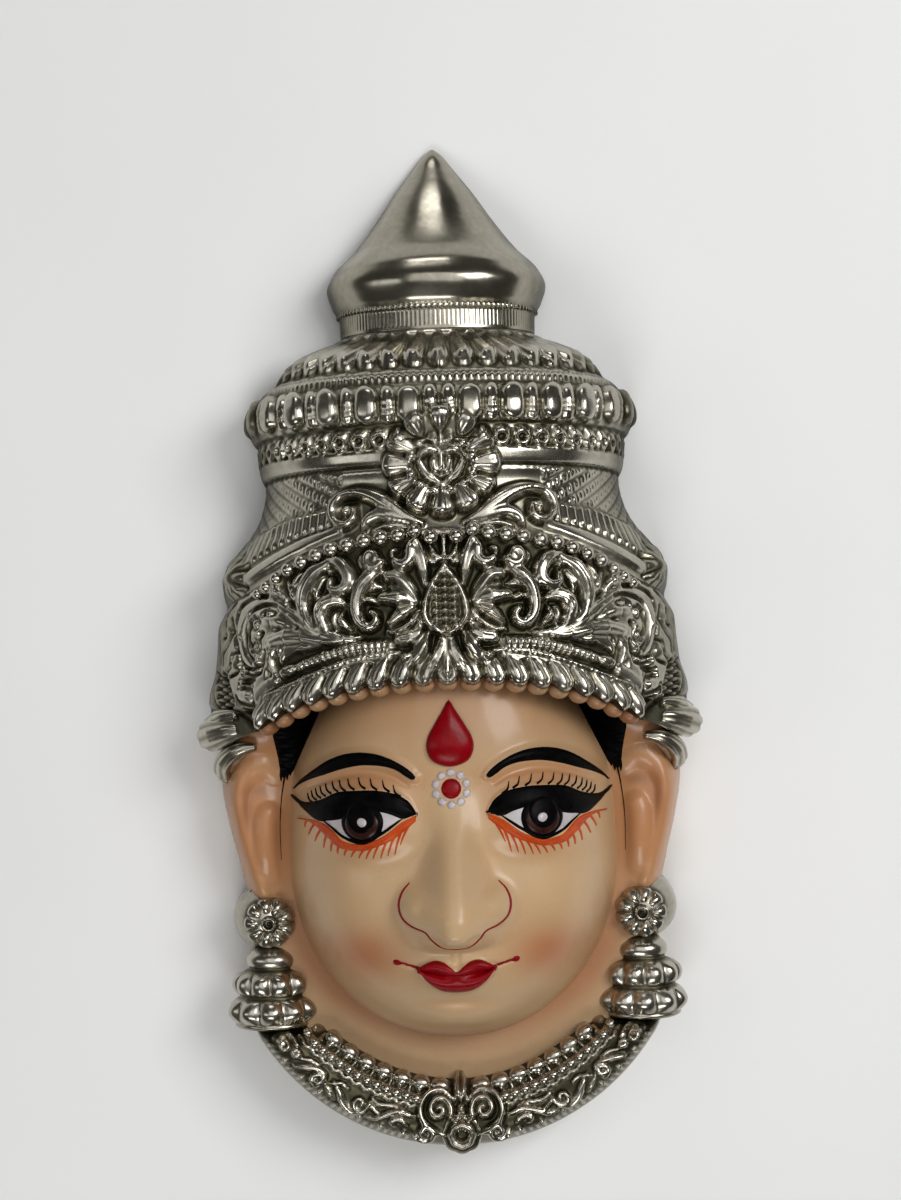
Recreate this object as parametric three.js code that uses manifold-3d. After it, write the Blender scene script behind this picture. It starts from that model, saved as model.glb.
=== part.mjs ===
// A goddess face mask, moulded in one piece: a hollow shell that lies on its flat back rim,
// face up. X is across the face, Y runs from the chin to the crown and Z stands off the back
// plane. Millimetres. The origin is the middle of the back plane.
import * as THREE from "three";
import { mergeVertices } from "three/addons/utils/BufferGeometryUtils.js";
import Module from "manifold-3d";

const wasm = await Module();
wasm.setup();

// Driving dimensions
const HEIGHT = 254; // ten inches from the collar's pendant to the finial's tip
const TOP = HEIGHT / 2;
const WALL = 2.5;
const BELOW = 4; // every piece starts this far under the back plane and is trimmed there
const CUT = 400; // the size of the trimming boxes

const FACE = {
  halfWidth: 40.5, middleY: -48.6, chinY: -96, topY: 6, depth: 46, edge: 2.3, fullness: 2.6,
  columns: 22, step: 3.6, crowd: 0.55, hollowColumns: 14, hollowStep: 8,
};
const NOSE = { rootY: -34, tipY: -58, baseY: -68.5, reach: 13.5, halfWidth: 12.5 };
const EYE = { x: 20.4, y: -39, halfWidth: 14, halfHeight: 7, reach: 3.2 };
const BROW = { x: 21.5, y: -26, halfWidth: 16, halfHeight: 4.5, reach: 1.6 };
const LIPS = { y: -75.5, halfWidth: 9.5, halfHeight: 4.6, reach: 3.4 };
const CHIN = { y: -88, halfWidth: 11, halfHeight: 7, reach: 3 };
const BINDI = { topY: -11, middleY: -20.7, radius: 5.4, reach: 1.6, thickness: 4, neck: 2.2 };

const PLATE = { height: 17, edge: 5, columns: 10 };
const COLLAR = { middleY: -65.6, inner: 39.4, outer: 58.7, crest: 25, startY: -90 };
const PENDANT = { y: -120, radius: 7, top: 17 };
const COLLAR_SCROLL = { x: 5.4, y: -111.6, z: 21, halfWidth: 4.6, halfHeight: 4.6, reach: 5 };
const EARRING = { x: 45.8, dropZ: 9.5, sides: 12 };
const BOSS = { y: -64.5, z: 11, radius: 8.8, reach: 10 };
const FLOWER = { y: -66.8, z: 20, radius: 6, height: 4, taper: 1.2 };
const EAR = { x: 49, y: -42, z: 8, halfWidth: 7.6, halfHeight: 16.5, reach: 17, cup: 4.6 };
const HAIR = { x: 41, y: -23, z: 6, halfWidth: 9, halfHeight: 14, reach: 25 };

const CROWN = { edge: 2.15, columns: 18, hollowColumns: 10, sweep: 50, bend: 56 };
const ARCH = { middleY: -8, sideX: 46.5, sideY: -16, endX: 57, endY: -22 };
const MEDALLION = { y: 44.6, halfWidth: 10.8, halfHeight: 12.6, petals: 12, petal: 3.3, z: 44 };
const HEART = { halfWidth: 5.6, halfHeight: 6.6, reach: 4 };
const DROP = { y: 11.6, halfWidth: 5.6, halfHeight: 9.3, z: 49.5, reach: 4.2 };
const STRING = { middleY: 28.4, fall: 0.0055, radius: 1.8, step: 4.7, count: 19 };
const HEM = { radius: 2.7, step: 6, count: 19, lift: 2.4 };
const SIDE_ROSE = { x: 51, y: 18.5, z: 10, halfWidth: 7.4, halfHeight: 7.2, reach: 12 };
const BUD = { x: 55.5, y: -19.5, z: 11, halfWidth: 6.8, halfHeight: 4.6, reach: 8 };

// The crown from its lower edge to its tip: [y, half width, depth].
const CROWN_PROFILE = [
  [-30, 57.5, 47], [-16, 60.6, 50.8], [-4, 60, 51.5], [8, 58, 51], [17, 56.4, 49.8],
  [23, 54.2, 48.4], [30, 48.8, 45.6], [35, 45.9, 44], [41, 44.6, 42.8], [46, 45.7, 43.7],
  [51, 46.2, 44], [53.4, 47.6, 45.2], [57.2, 48.9, 46.4], [61.4, 47.9, 45.4], [64.4, 45.2, 42.8],
  [69.5, 39, 37], [74.5, 32.4, 30.8], [78.4, 25.4, 24.4], [79.4, 24.6, 23.6], [83.6, 24.7, 23.6],
  [87, 26.4, 25.2], [91.5, 27.7, 26.2], [95.6, 25.9, 24.6], [101, 20.6, 19.8], [108, 15.2, 14.8],
  [116, 9.7, 9.6], [121.4, 5.5, 5.8], [125.6, 2.2, 2.8], [TOP, 0.5, 1],
];

// The neck and ear plate's half width, from the ears down to the collar.
const PLATE_PROFILE = [
  [-121, 17], [-116, 30.4], [-108, 40.8], [-99, 48], [-90, 51], [-64, 51.6], [-52, 53.8],
  [-42, 56.2], [-32, 57.8], [-8, 57.6],
];

// An earring's drop, turned about an upright axis: [y, radius].
const EARRING_PROFILE = [
  [-92.4, 0], [-92, 7], [-89.6, 9.6], [-86, 10.2], [-84.2, 9.2], [-81, 8.8],
  [-78.4, 7.6], [-75, 6.4], [-72, 0],
];

// The collar's section, out from its inner edge: [radius, z].
const COLLAR_SECTION = [
  [COLLAR.inner, -BELOW], [COLLAR.inner, 19], [COLLAR.inner + 2.4, 22.4],
  [COLLAR.inner + 7.6, 24.2], [COLLAR.inner + 11.2, COLLAR.crest], [COLLAR.inner + 14, 23.4],
  [COLLAR.inner + 17, 18.2], [COLLAR.outer - 0.7, 9], [COLLAR.outer, 3], [COLLAR.outer, -BELOW],
];

// Reads a table of rows [y, value, ...] at y, straight between rows.
function along(rows, y, column = 1) {
  const last = rows.length - 1;
  const up = rows[0][0] < rows[last][0] ? rows : [...rows].reverse();
  if (y <= up[0][0]) return up[0][column];
  if (y >= up[last][0]) return up[last][column];
  const i = up.findIndex((row) => row[0] >= y);
  const [low, high] = [up[i - 1], up[i]];
  const share = (y - low[0]) / (high[0] - low[0]);
  return low[column] + share * (high[column] - low[column]);
}

function solidOf(geometry) {
  const bare = geometry.index ? geometry.toNonIndexed() : geometry.clone();
  for (const name of Object.keys(bare.attributes)) {
    if (name !== "position") bare.deleteAttribute(name);
  }
  const merged = mergeVertices(bare, 1e-4);
  return new wasm.Manifold(
    new wasm.Mesh({
      numProp: 3,
      vertProperties: merged.attributes.position.array,
      triVerts: new Uint32Array(merged.index.array),
    }),
  );
}

function geometryOf(solid) {
  const made = solid.getMesh();
  const geometry = new THREE.BufferGeometry();
  geometry.setAttribute("position", new THREE.BufferAttribute(made.vertProperties, 3));
  geometry.setIndex(new THREE.BufferAttribute(made.triVerts, 1));
  geometry.computeVertexNormals();
  return geometry;
}

const union = (pieces) => pieces.reduce((whole, piece) => whole.add(piece));
const bothSides = (make) => union([make(-1), make(1)]);

// A solid through sections across Y. section(y, turn) gives [x, z] for a turn from 0, at the
// right, to PI, at the left, and each section is closed by a flat floor under the back plane.
function loft(stations, columns, section) {
  const points = [];
  const ring = columns + 3;
  for (const y of stations) {
    const row = [];
    for (let j = 0; j <= columns; j += 1) row.push(section(y, (Math.PI * j) / columns));
    points.push([row[0][0], y, -BELOW]);
    for (const [x, z] of row) points.push([x, y, z]);
    points.push([row[columns][0], y, -BELOW]);
  }
  const faces = [];
  for (let i = 0; i + 1 < stations.length; i += 1) {
    for (let j = 0; j < ring; j += 1) {
      const a = i * ring + j;
      const b = i * ring + ((j + 1) % ring);
      faces.push([a, b + ring, b], [a, a + ring, b + ring]);
    }
  }
  const end = (stations.length - 1) * ring;
  for (let j = 1; j + 1 < ring; j += 1) {
    faces.push([0, j, j + 1], [end, end + j + 1, end + j]);
  }
  const geometry = new THREE.BufferGeometry();
  geometry.setAttribute("position", new THREE.Float32BufferAttribute(points.flat(), 3));
  geometry.setIndex(faces.flat());
  return solidOf(geometry);
}

// A rounded cross-section: a half ellipse whose corners fill out as the power rises above 2.
function arch(halfWidth, depth, power, turn) {
  const bend = (value) => Math.sign(value) * Math.abs(value) ** (2 / power);
  return [halfWidth * bend(Math.cos(turn)), depth * Math.max(0, Math.sin(turn)) ** (2 / power)];
}

// detail 0 has 20 faces and 1 has 80.
function ball(x, y, z, rx, ry, rz, detail = 1) {
  const geometry = new THREE.IcosahedronGeometry(1, detail);
  geometry.scale(rx, ry, rz).translate(x, y, z);
  return solidOf(geometry);
}

// The same ball on the left and on the right, sized by its half width, half height and reach.
function pairOf({ x, y, z, halfWidth, halfHeight, reach }) {
  return bothSides((side) => ball(side * x, y, z, halfWidth, halfHeight, reach));
}

function box(lowX, highX, lowY, highY, lowZ, highZ) {
  const geometry = new THREE.BoxGeometry(highX - lowX, highY - lowY, highZ - lowZ);
  geometry.translate((lowX + highX) / 2, (lowY + highY) / 2, (lowZ + highZ) / 2);
  return solidOf(geometry);
}

function crownDepthAt(x, y) {
  const share = Math.min(1, Math.abs(x) / along(CROWN_PROFILE, y, 1));
  return along(CROWN_PROFILE, y, 2) * (1 - share ** CROWN.edge) ** (1 / CROWN.edge);
}

function crownBody(rows = CROWN_PROFILE, columns = CROWN.columns, inset = 0) {
  return loft(rows.map((row) => row[0]), columns, (y, turn) =>
    arch(along(rows, y, 1) - inset, along(rows, y, 2) - inset, CROWN.edge, turn),
  );
}

// Every second row is enough inside, and the finial's tip stays solid.
function crownHollow() {
  const rows = CROWN_PROFILE.filter((row, i) => i % 2 === 0 && row[0] < TOP - 15);
  const arched = underCrown().translate(0, WALL, 0);
  return crownBody(rows, CROWN.hollowColumns, WALL).subtract(arched);
}

// What lies below the crown's arched lower edge, to be cut from it.
function underCrown() {
  const shape = new THREE.Shape();
  shape.moveTo(-CUT, ARCH.endY);
  shape.lineTo(-ARCH.endX, ARCH.endY);
  shape.lineTo(-ARCH.sideX, ARCH.sideY);
  shape.quadraticCurveTo(-ARCH.sideX / 2, ARCH.middleY, 0, ARCH.middleY);
  shape.quadraticCurveTo(ARCH.sideX / 2, ARCH.middleY, ARCH.sideX, ARCH.sideY);
  shape.lineTo(ARCH.endX, ARCH.endY);
  shape.lineTo(CUT, ARCH.endY);
  shape.lineTo(CUT, -CUT);
  shape.lineTo(-CUT, -CUT);
  const geometry = new THREE.ExtrudeGeometry(shape, {
    depth: CUT, bevelEnabled: false, curveSegments: 8,
  });
  geometry.translate(0, 0, -CUT / 2);
  return solidOf(geometry);
}

// Beads set round the crown's surface at equal steps, at the height that curve(x) gives.
function beadRow(count, step, radius, curve) {
  const beads = [];
  for (let i = 0; i < count; i += 1) {
    const reach = (i - (count - 1) / 2) * step;
    const x = CROWN.sweep * Math.sin(reach / CROWN.bend);
    const y = curve(x);
    beads.push(ball(x, y, crownDepthAt(x, y), radius, radius, radius, 0));
  }
  return beads;
}

function medallion() {
  const petals = [];
  for (let i = 0; i < MEDALLION.petals; i += 1) {
    const turn = (2 * Math.PI * (i + 0.5)) / MEDALLION.petals;
    const x = MEDALLION.halfWidth * Math.sin(turn);
    const y = MEDALLION.y + MEDALLION.halfHeight * Math.cos(turn);
    petals.push(ball(x, y, MEDALLION.z, MEDALLION.petal, MEDALLION.petal, MEDALLION.petal, 0));
  }
  const { y, z, halfWidth, halfHeight } = MEDALLION;
  const field = ball(0, y, z - HEART.halfHeight, halfWidth, halfHeight, HEART.halfHeight);
  const heart = ball(0, y, z, HEART.halfWidth, HEART.halfHeight, HEART.reach);
  return [...petals, field, heart];
}

function scroll(side, points, thickness) {
  const path = new THREE.CatmullRomCurve3(
    points.map(([x, y]) => new THREE.Vector3(side * x, y, crownDepthAt(x, y) + thickness / 3)),
  );
  const section = new THREE.Shape(
    new THREE.EllipseCurve(0, 0, thickness, thickness, 0, 2 * Math.PI).getPoints(4).slice(0, 4),
  );
  return solidOf(new THREE.ExtrudeGeometry(section, { steps: 8, extrudePath: path }));
}

// The larger scrolls of the front plate and those that carry the medallion.
const SCROLLS = [
  { thickness: 1.5, points: [[5, 31], [12, 37], [19, 40], [25, 38], [25, 32.5], [20.5, 33.5]] },
  { thickness: 1.6, points: [[31.5, 7], [33.5, 14], [30, 21], [24, 21], [22.5, 17], [26.5, 16]] },
  { thickness: 1.5, points: [[14.5, 18], [21, 16], [22.5, 10], [19, 6.5], [16.5, 9], [18.5, 11]] },
  { thickness: 1.5, points: [[22, 4.5], [31, 7], [39, 14.5], [47, 15.5], [50.5, 8], [48, 0]] },
];

function crown() {
  const scrolls = SCROLLS.flatMap(({ thickness, points }) =>
    [-1, 1].map((side) => scroll(side, points, thickness)),
  );
  const string = beadRow(STRING.count, STRING.step, STRING.radius, (x) =>
    STRING.middleY - STRING.fall * x * x,
  );
  const hem = beadRow(HEM.count, HEM.step, HEM.radius, (x) => hemY(x) + HEM.lift);
  const drop = ball(0, DROP.y, DROP.z, DROP.halfWidth, DROP.halfHeight, DROP.reach);
  const body = crownBody().subtract(underCrown());
  const sides = [pairOf(SIDE_ROSE), pairOf(BUD)];
  return union([body, ...scrolls, ...string, ...hem, drop, ...medallion(), ...sides]);
}

// The crown's lower edge seen from the front, as underCrown cuts it.
function hemY(x) {
  const share = Math.min(1, Math.abs(x) / ARCH.sideX);
  return ARCH.middleY + (ARCH.sideY - ARCH.middleY) * share ** 2;
}

// A smooth hump with its top at the middle of an ellipse and nothing past the edge.
function hump(x, y, at, sideX = 0) {
  const across = (Math.abs(x) - sideX) / at.halfWidth;
  const up = (y - at.y) / at.halfHeight;
  const fall = Math.max(0, 1 - across * across - up * up);
  return at.reach * fall * fall * (3 - 2 * fall);
}

function noseZ(x, y) {
  if (y > NOSE.rootY || y < NOSE.baseY - 4) return 0;
  const down = (NOSE.rootY - y) / (NOSE.rootY - NOSE.tipY);
  const under = Math.max(0, (NOSE.tipY - y) / (NOSE.tipY - NOSE.baseY + 1.5));
  const reach = NOSE.reach * Math.min(1, down) ** 1.25 * Math.sqrt(Math.max(0, 1 - under ** 2.4));
  const halfWidth = 5 + (NOSE.halfWidth - 5) * Math.min(1, down) ** 2;
  const across = Math.abs(x) / halfWidth;
  return across >= 1 ? 0 : reach * (1 - across ** 1.7) ** 1.2;
}

function faceHalfWidth(y) {
  const half = y < FACE.middleY ? FACE.middleY - FACE.chinY : FACE.topY - FACE.middleY;
  const share = Math.min(1, Math.abs(y - FACE.middleY) / half);
  return FACE.halfWidth * Math.sqrt(Math.max(0.0009, 1 - share * share));
}

function faceDepth(y) {
  const upper = 2 * (FACE.topY - FACE.middleY); // the forehead stays full under the crown
  const half = y < FACE.middleY ? FACE.middleY - FACE.chinY : upper;
  const share = Math.min(1, Math.abs(y - FACE.middleY) / half);
  return FACE.depth * Math.max(0.02, 1 - share ** FACE.fullness) ** (1 / FACE.fullness);
}

function face() {
  const stations = [FACE.chinY, FACE.chinY + 0.8, FACE.chinY + 2.4];
  for (let y = FACE.chinY + 5; y < FACE.topY - 3; y += FACE.step) stations.push(y);
  return loft(stations, FACE.columns, (y, turn) => {
    // Columns crowd towards the middle, where the nose and lips are.
    const share = 2 * turn / Math.PI - 1;
    const angle = (Math.PI / 2) * (1 + share * (FACE.crowd + (1 - FACE.crowd) * share * share));
    const [x, z] = arch(faceHalfWidth(y), faceDepth(y), FACE.edge, angle);
    const lids = hump(x, y, EYE, EYE.x) + hump(x, y, BROW, BROW.x);
    return [x, z + noseZ(x, y) + lids + hump(x, y, LIPS) + hump(x, y, CHIN)];
  });
}

function bindi() {
  const z = faceDepth(BINDI.middleY);
  const shape = new THREE.Shape();
  const tip = BINDI.topY - BINDI.middleY;
  shape.moveTo(0, tip);
  shape.quadraticCurveTo(-BINDI.neck, BINDI.radius, -BINDI.radius, 0);
  shape.absarc(0, 0, BINDI.radius, Math.PI, 2 * Math.PI, false);
  shape.quadraticCurveTo(BINDI.neck, BINDI.radius, 0, tip);
  const geometry = new THREE.ExtrudeGeometry(shape, {
    depth: BINDI.thickness, curveSegments: 6, bevelEnabled: false,
  });
  geometry.translate(0, BINDI.middleY, z + BINDI.reach - BINDI.thickness);
  return solidOf(geometry);
}

function plate(inset = 0) {
  const stations = PLATE_PROFILE.map((row) => row[0]);
  return loft(stations, PLATE.columns, (y, turn) =>
    arch(along(PLATE_PROFILE, y) - inset, PLATE.height - inset, PLATE.edge, turn),
  );
}

function ears() {
  return bothSides((side) => {
    const { x, y, z, halfWidth, halfHeight, reach, cup } = EAR;
    const ear = ball(side * x, y, z, halfWidth, halfHeight, reach);
    const cupZ = z + reach + cup / 2;
    return ear.subtract(ball(side * (x - cup / 2), y, cupZ, cup, halfHeight - cup, z, 0));
  });
}

function collarRing(section) {
  const loop = [...section, section[0]];
  const profile = loop.map(([radius, z]) => new THREE.Vector2(radius, -z));
  const geometry = new THREE.LatheGeometry(profile, 36);
  geometry.rotateX(-Math.PI / 2).translate(0, COLLAR.middleY, 0);
  const ring = solidOf(geometry);
  return ring.intersect(box(-CUT, CUT, -CUT, COLLAR.startY, -CUT, CUT));
}

function collar() {
  const height = PENDANT.top + BELOW;
  const pendant = new THREE.CylinderGeometry(PENDANT.radius, PENDANT.radius, height, 16);
  pendant.rotateX(Math.PI / 2).translate(0, PENDANT.y, PENDANT.top - height / 2);
  return union([collarRing(COLLAR_SECTION), solidOf(pendant), pairOf(COLLAR_SCROLL)]);
}

// An earring: a flower on a round boss, and a turned drop that stands half out of the plate.
function earring(side) {
  const profile = EARRING_PROFILE.map(([y, radius]) => new THREE.Vector2(radius, y));
  const x = side * EARRING.x;
  const drop = new THREE.LatheGeometry(profile, EARRING.sides);
  drop.translate(x, 0, EARRING.dropZ);
  const boss = ball(x, BOSS.y, BOSS.z, BOSS.radius, BOSS.radius, BOSS.reach);
  const { radius, taper, height } = FLOWER;
  const flower = new THREE.CylinderGeometry(radius - taper, radius, height, EARRING.sides);
  flower.rotateX(Math.PI / 2).translate(x, FLOWER.y, FLOWER.z);
  return union([solidOf(drop), boss, solidOf(flower)]);
}

// The hollow behind the crown, face, plate and collar, one wall inside the front.
function hollow() {
  const faceStations = [];
  for (let y = FACE.chinY + 2 * WALL; y <= FACE.topY - WALL; y += FACE.hollowStep) {
    faceStations.push(y);
  }
  const faceHollow = loft(faceStations, FACE.hollowColumns, (y, turn) =>
    arch(faceHalfWidth(y) - WALL, faceDepth(y) - 1.3 * WALL, FACE.edge, turn),
  );
  const inside = COLLAR_SECTION.map(([radius, z]) => [
    THREE.MathUtils.clamp(radius, COLLAR.inner + WALL, COLLAR.outer - WALL),
    z > 0 ? Math.max(z - 1.3 * WALL, 0) : z,
  ]);
  return union([crownHollow(), faceHollow, plate(WALL), collarRing(inside)]);
}

function maskSolid() {
  const front = union([
    crown(), face(), bindi(), plate(), ears(), pairOf(HAIR), collar(), bothSides(earring),
  ]);
  return front.subtract(hollow()).intersect(box(-CUT, CUT, -CUT, CUT, 0, CUT));
}

const material = new THREE.MeshStandardMaterial({ color: 0xb8b5a8, roughness: 0.25, metalness: 0.9 });
const mask = new THREE.Mesh(geometryOf(maskSolid()), material);
mask.name = "mask";

const part = new THREE.Group();
part.add(mask);
export default part;
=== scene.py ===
"""The looks of a moulded and plated goddess face mask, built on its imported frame."""

import math

import bpy
import numpy as np
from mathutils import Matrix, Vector


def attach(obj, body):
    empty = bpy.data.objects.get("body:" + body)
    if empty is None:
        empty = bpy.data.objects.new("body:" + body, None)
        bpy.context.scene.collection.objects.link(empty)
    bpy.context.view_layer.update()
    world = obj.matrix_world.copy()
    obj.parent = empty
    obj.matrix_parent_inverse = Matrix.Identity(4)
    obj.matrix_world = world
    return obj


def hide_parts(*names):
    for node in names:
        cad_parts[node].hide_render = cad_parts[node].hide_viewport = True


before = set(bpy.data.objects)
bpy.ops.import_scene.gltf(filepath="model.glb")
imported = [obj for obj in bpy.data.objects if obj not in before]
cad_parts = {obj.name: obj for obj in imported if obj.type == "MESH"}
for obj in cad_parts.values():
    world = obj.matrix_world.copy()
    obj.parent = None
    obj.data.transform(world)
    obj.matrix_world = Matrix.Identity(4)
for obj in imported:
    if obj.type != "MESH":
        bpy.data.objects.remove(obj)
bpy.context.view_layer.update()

MM = 0.001  # shapes are worked out in millimetres
WALL = 2.5
BODY = "root"
NODE = "mask"
EVERY = 4  # the back of a shell has one vertex for each four of its front
PI = math.pi

# The crown's profile: [y, half width, depth].
CROWN_ROWS = [
    [-30, 57.5, 47], [-16, 60.4, 50.8], [-10, 60, 51.2], [-4, 58.3, 51.5], [2, 57.6, 51.3],
    [7, 57.2, 51], [11.8, 55.2, 50.4], [15, 56, 50], [19, 56.4, 49.4], [23, 54.4, 48.4],
    [27, 51.2, 46.8], [30, 48.6, 45.6], [35, 45.9, 44], [41, 44.6, 42.8], [46, 45.7, 43.7],
    [51, 46.2, 44], [53.4, 47.6, 45.2], [57.2, 48.9, 46.4], [61.4, 47.9, 45.4],
    [64.4, 45.2, 42.8], [69.5, 39, 37], [74.5, 32.4, 30.8], [78.4, 25.4, 24.4],
    [79.4, 24.6, 23.6], [83.6, 24.7, 23.6], [87, 26.4, 25.2], [91.5, 27.7, 26.2],
    [95.6, 25.9, 24.6], [101, 20.6, 19.8], [108, 15.2, 14.8], [116, 9.7, 9.6],
    [121.4, 5.5, 5.8], [125.6, 2.2, 2.8], [127, 0.5, 1],
]
# The ear and neck plate's half width, up from the collar: [y, half width].
PLATE_LOW, PLATE_TOP, PLATE_HEIGHT = -121, -8, 17
PLATE_ROWS = [
    [PLATE_LOW, 17], [-116, 30.4], [-108, 40.8], [-99, 48], [-90, 51], [-64, 51.6],
    [-52, 53.8], [-42, 56.2], [-32, 57.8], [PLATE_TOP, 57.6],
]
COLLAR_Y = -65.6  # the middle of the collar's rings
COLLAR_TOP = -88  # where its two ends stop, under the earrings
# The collar's section, out from its inner edge: [radius, z].
COLLAR_ROWS = [
    [39.4, 14], [39.5, 18.6], [41.8, 22.2], [47, 24.2], [50.6, 25], [53.4, 23.4],
    [56.4, 18.2], [58, 9], [58.7, 0],
]
# The crown's lower edge over the forehead: [x, y].
HEM_ROWS = [
    [0, -5.6], [12, -6.2], [22, -7.4], [30, -9.2], [38, -12], [44, -15.2], [50, -17],
    [57, -17.4], [62, -17.2],
]
FACE = {"x": 42, "y": -48.6, "down": 47.4, "up": 54.6, "depth": 46, "edge": 2.4}


# Curves and surfaces


def smooth_rows(rows):
    """Reads a table [position, value, ...] smoothly, and never past its values."""
    table = np.array(sorted(rows), dtype=float)
    places = table[:, 0]
    gaps = np.diff(places)

    def read(place, column=1):
        values = table[:, column]
        slopes = np.diff(values) / gaps
        before, after = slopes[:-1], slopes[1:]
        both = before + after
        both[np.abs(both) < 1e-9] = 1
        tangents = np.empty(len(values))
        tangents[0], tangents[-1] = slopes[0], slopes[-1]
        tangents[1:-1] = np.where(before * after > 0, 2 * before * after / both, 0)
        i = np.clip(np.searchsorted(places, place, side="right") - 1, 0, len(gaps) - 1)
        f = np.clip((place - places[i]) / gaps[i], 0, 1)
        rise = f * (1 - f) * gaps[i] * ((1 - f) * tangents[i] - f * tangents[i + 1])
        ease = f * f * (3 - 2 * f)
        return values[i] * (1 - ease) + values[i + 1] * ease + rise

    return read


def smooth_path(points, step=0.45, closed=False):
    """A smooth curve through points, as evenly spaced rows."""
    points = np.array(points, dtype=float)
    if closed:
        padded = np.vstack([points[-1:], points, points[:2]])
    else:
        first = 2 * points[0] - points[1]
        last = 2 * points[-1] - points[-2]
        padded = np.vstack([first, points, last])
    f = np.linspace(0, 1, 16, endpoint=False)[:, None]
    parts = [
        b + 0.5 * ((c - a) * f + (2 * a - 5 * b + 4 * c - d) * f**2
                   + (3 * b - a - 3 * c + d) * f**3)
        for a, b, c, d in zip(padded, padded[1:], padded[2:], padded[3:])
    ]
    curve = np.vstack([*parts, padded[-2:-1]])
    run = run_along(*curve.T)
    even = np.linspace(0, run[-1], max(3, int(run[-1] / step) + 1))
    return columns_at(even, run, curve)


def columns_at(places, run, rows):
    """Each column of rows, known at the places in run, read at other places."""
    return np.stack([np.interp(places, run, column) for column in rows.T], axis=1)


def run_along(*columns):
    """The length along a line of points, from 0 at its first."""
    steps = np.sqrt(sum(np.diff(column) ** 2 for column in columns))
    return np.concatenate([[0], np.cumsum(steps)])


def ring_turns(count):
    return np.linspace(0, 2 * PI, count, endpoint=False)


class Sections:
    """A surface of half-round sections stacked along y, each with a half width and a depth."""

    RATIOS = np.linspace(0.4, 2.2, 37)
    SHARES = np.linspace(0, 1, 257)

    def __init__(self, half_width, depth, edge):
        self.half_width, self.depth = half_width, depth
        turn = np.linspace(PI / 2, 0, 2500)
        across = np.cos(turn).clip(0) ** (2 / edge)
        up = np.sin(turn).clip(0) ** (2 / edge)
        self.across, self.up, self.lengths = [], [], []
        for ratio in self.RATIOS:
            run = run_along(across, ratio * up)
            self.lengths.append(run[-1])
            self.across.append(np.interp(self.SHARES, run / run[-1], across))
            self.up.append(np.interp(self.SHARES, run / run[-1], up))
        self.across, self.up = np.array(self.across), np.array(self.up)

    def _mix(self, table, share, y):
        ratio = self.depth(y) / self.half_width(y)
        row = (ratio - self.RATIOS[0]) / (self.RATIOS[1] - self.RATIOS[0])
        row = np.clip(row, 0, len(self.RATIOS) - 1.001)
        column = np.clip(np.abs(share), 0, 1) * (len(self.SHARES) - 1.001)
        i, j = row.astype(int), column.astype(int)
        f, g = row - i, column - j
        low = table[i, j] * (1 - g) + table[i, j + 1] * g
        high = table[i + 1, j] * (1 - g) + table[i + 1, j + 1] * g
        return low * (1 - f) + high * f

    def place(self, share, y):
        """Points for share, from -1 at the left edge to 1 at the right, at height y."""
        share, y = np.broadcast_arrays(np.asarray(share, float), np.asarray(y, float))
        x = np.sign(share) * self.half_width(y) * self._mix(self.across, share, y)
        return np.stack([x, y, self.depth(y) * self._mix(self.up, share, y)], axis=-1)

    def normal(self, share, y):
        """The way the surface faces at each point."""
        share, y = np.broadcast_arrays(np.asarray(share, float), np.asarray(y, float))
        e, d = 0.004, 0.2
        across = self.place(np.minimum(share + e, 1), y) - self.place(np.maximum(share - e, -1), y)
        along = self.place(share, y + d) - self.place(share, y - d)
        return unit(np.cross(across, along))

    def reach(self, y):
        """The length over the surface from the middle to an edge at height y."""
        y = np.asarray(y, float)
        half = self.half_width(y)
        return half * np.interp(self.depth(y) / half, self.RATIOS, self.lengths)

    def run_to(self, x, y):
        """The length over the surface from the middle to x, at height y."""
        runs = []
        for one_x, one_y in zip(np.atleast_1d(x), np.atleast_1d(y)):
            xs = self.place(self.SHARES, one_y)[:, 0]
            share = np.interp(abs(one_x), xs, self.SHARES)
            runs.append(math.copysign(share, one_x) * self.reach(one_y))
        return np.array(runs)


def unit(vectors):
    return vectors / np.linalg.norm(vectors, axis=-1, keepdims=True).clip(1e-9)


def normals_of(grid):
    return unit(np.cross(np.gradient(grid, axis=1), np.gradient(grid, axis=0)))


def soften(values, steps):
    """Blurs a grid by a number of small steps, each along one axis and then the other."""
    for _ in range(2 * steps):
        wide = np.pad(values.T, [(1, 1), (0, 0)], mode="edge")
        values = (wide[:-2] + 2 * wide[1:-1] + wide[2:]) / 4
    return values


# Relief: ornament raised on a sheet


def groove(q):
    return np.exp(-(q**2))


def wave(turn):
    return np.abs(np.sin(PI * turn))


# A band's height, from 0 to 1: side goes from -1 to 1 across it, run is the length along it,
# and width is its half width.


def plain(power, edge, dip=0.0, at=0.0, size=1.0):
    """A band that is flatter with a higher power and softer with a higher edge. It may have a
    groove of depth dip at a place on each side."""

    def shape(side, run, width):
        away = np.abs(side)
        return (1 - away**power) ** edge * (1 - dip * groove((away - at) / size))

    return shape


rounded = plain(2.6, 0.6)
flat_shape = plain(6, 0.5)
bulb_shape = plain(4, 0.5)
soft_edge = plain(2, 1.4)
creased = plain(2, 0.6, 0.45, 0, 0.22)
dome_petal = plain(4, 0.6, 0.3, 0.62, 0.14)  # plump, with a fold down each side


def dished(side, run, width):
    """A fat lobe with a soft groove near one edge."""
    return (1 - np.abs(side) ** 3) ** 0.6 * (1 - 0.25 * groove((side - 0.35) / 0.2))


def egg_rim(side, run, width):
    """A flat-bottomed dish with a raised rim."""
    inset = np.abs(side) * width - width + 0.95
    bed = 0.5 - 0.05 * side**2 + 0.5 * groove(inset / 0.6)
    return np.where(inset > 0, (1 - side**8) ** 0.5, bed)


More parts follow.
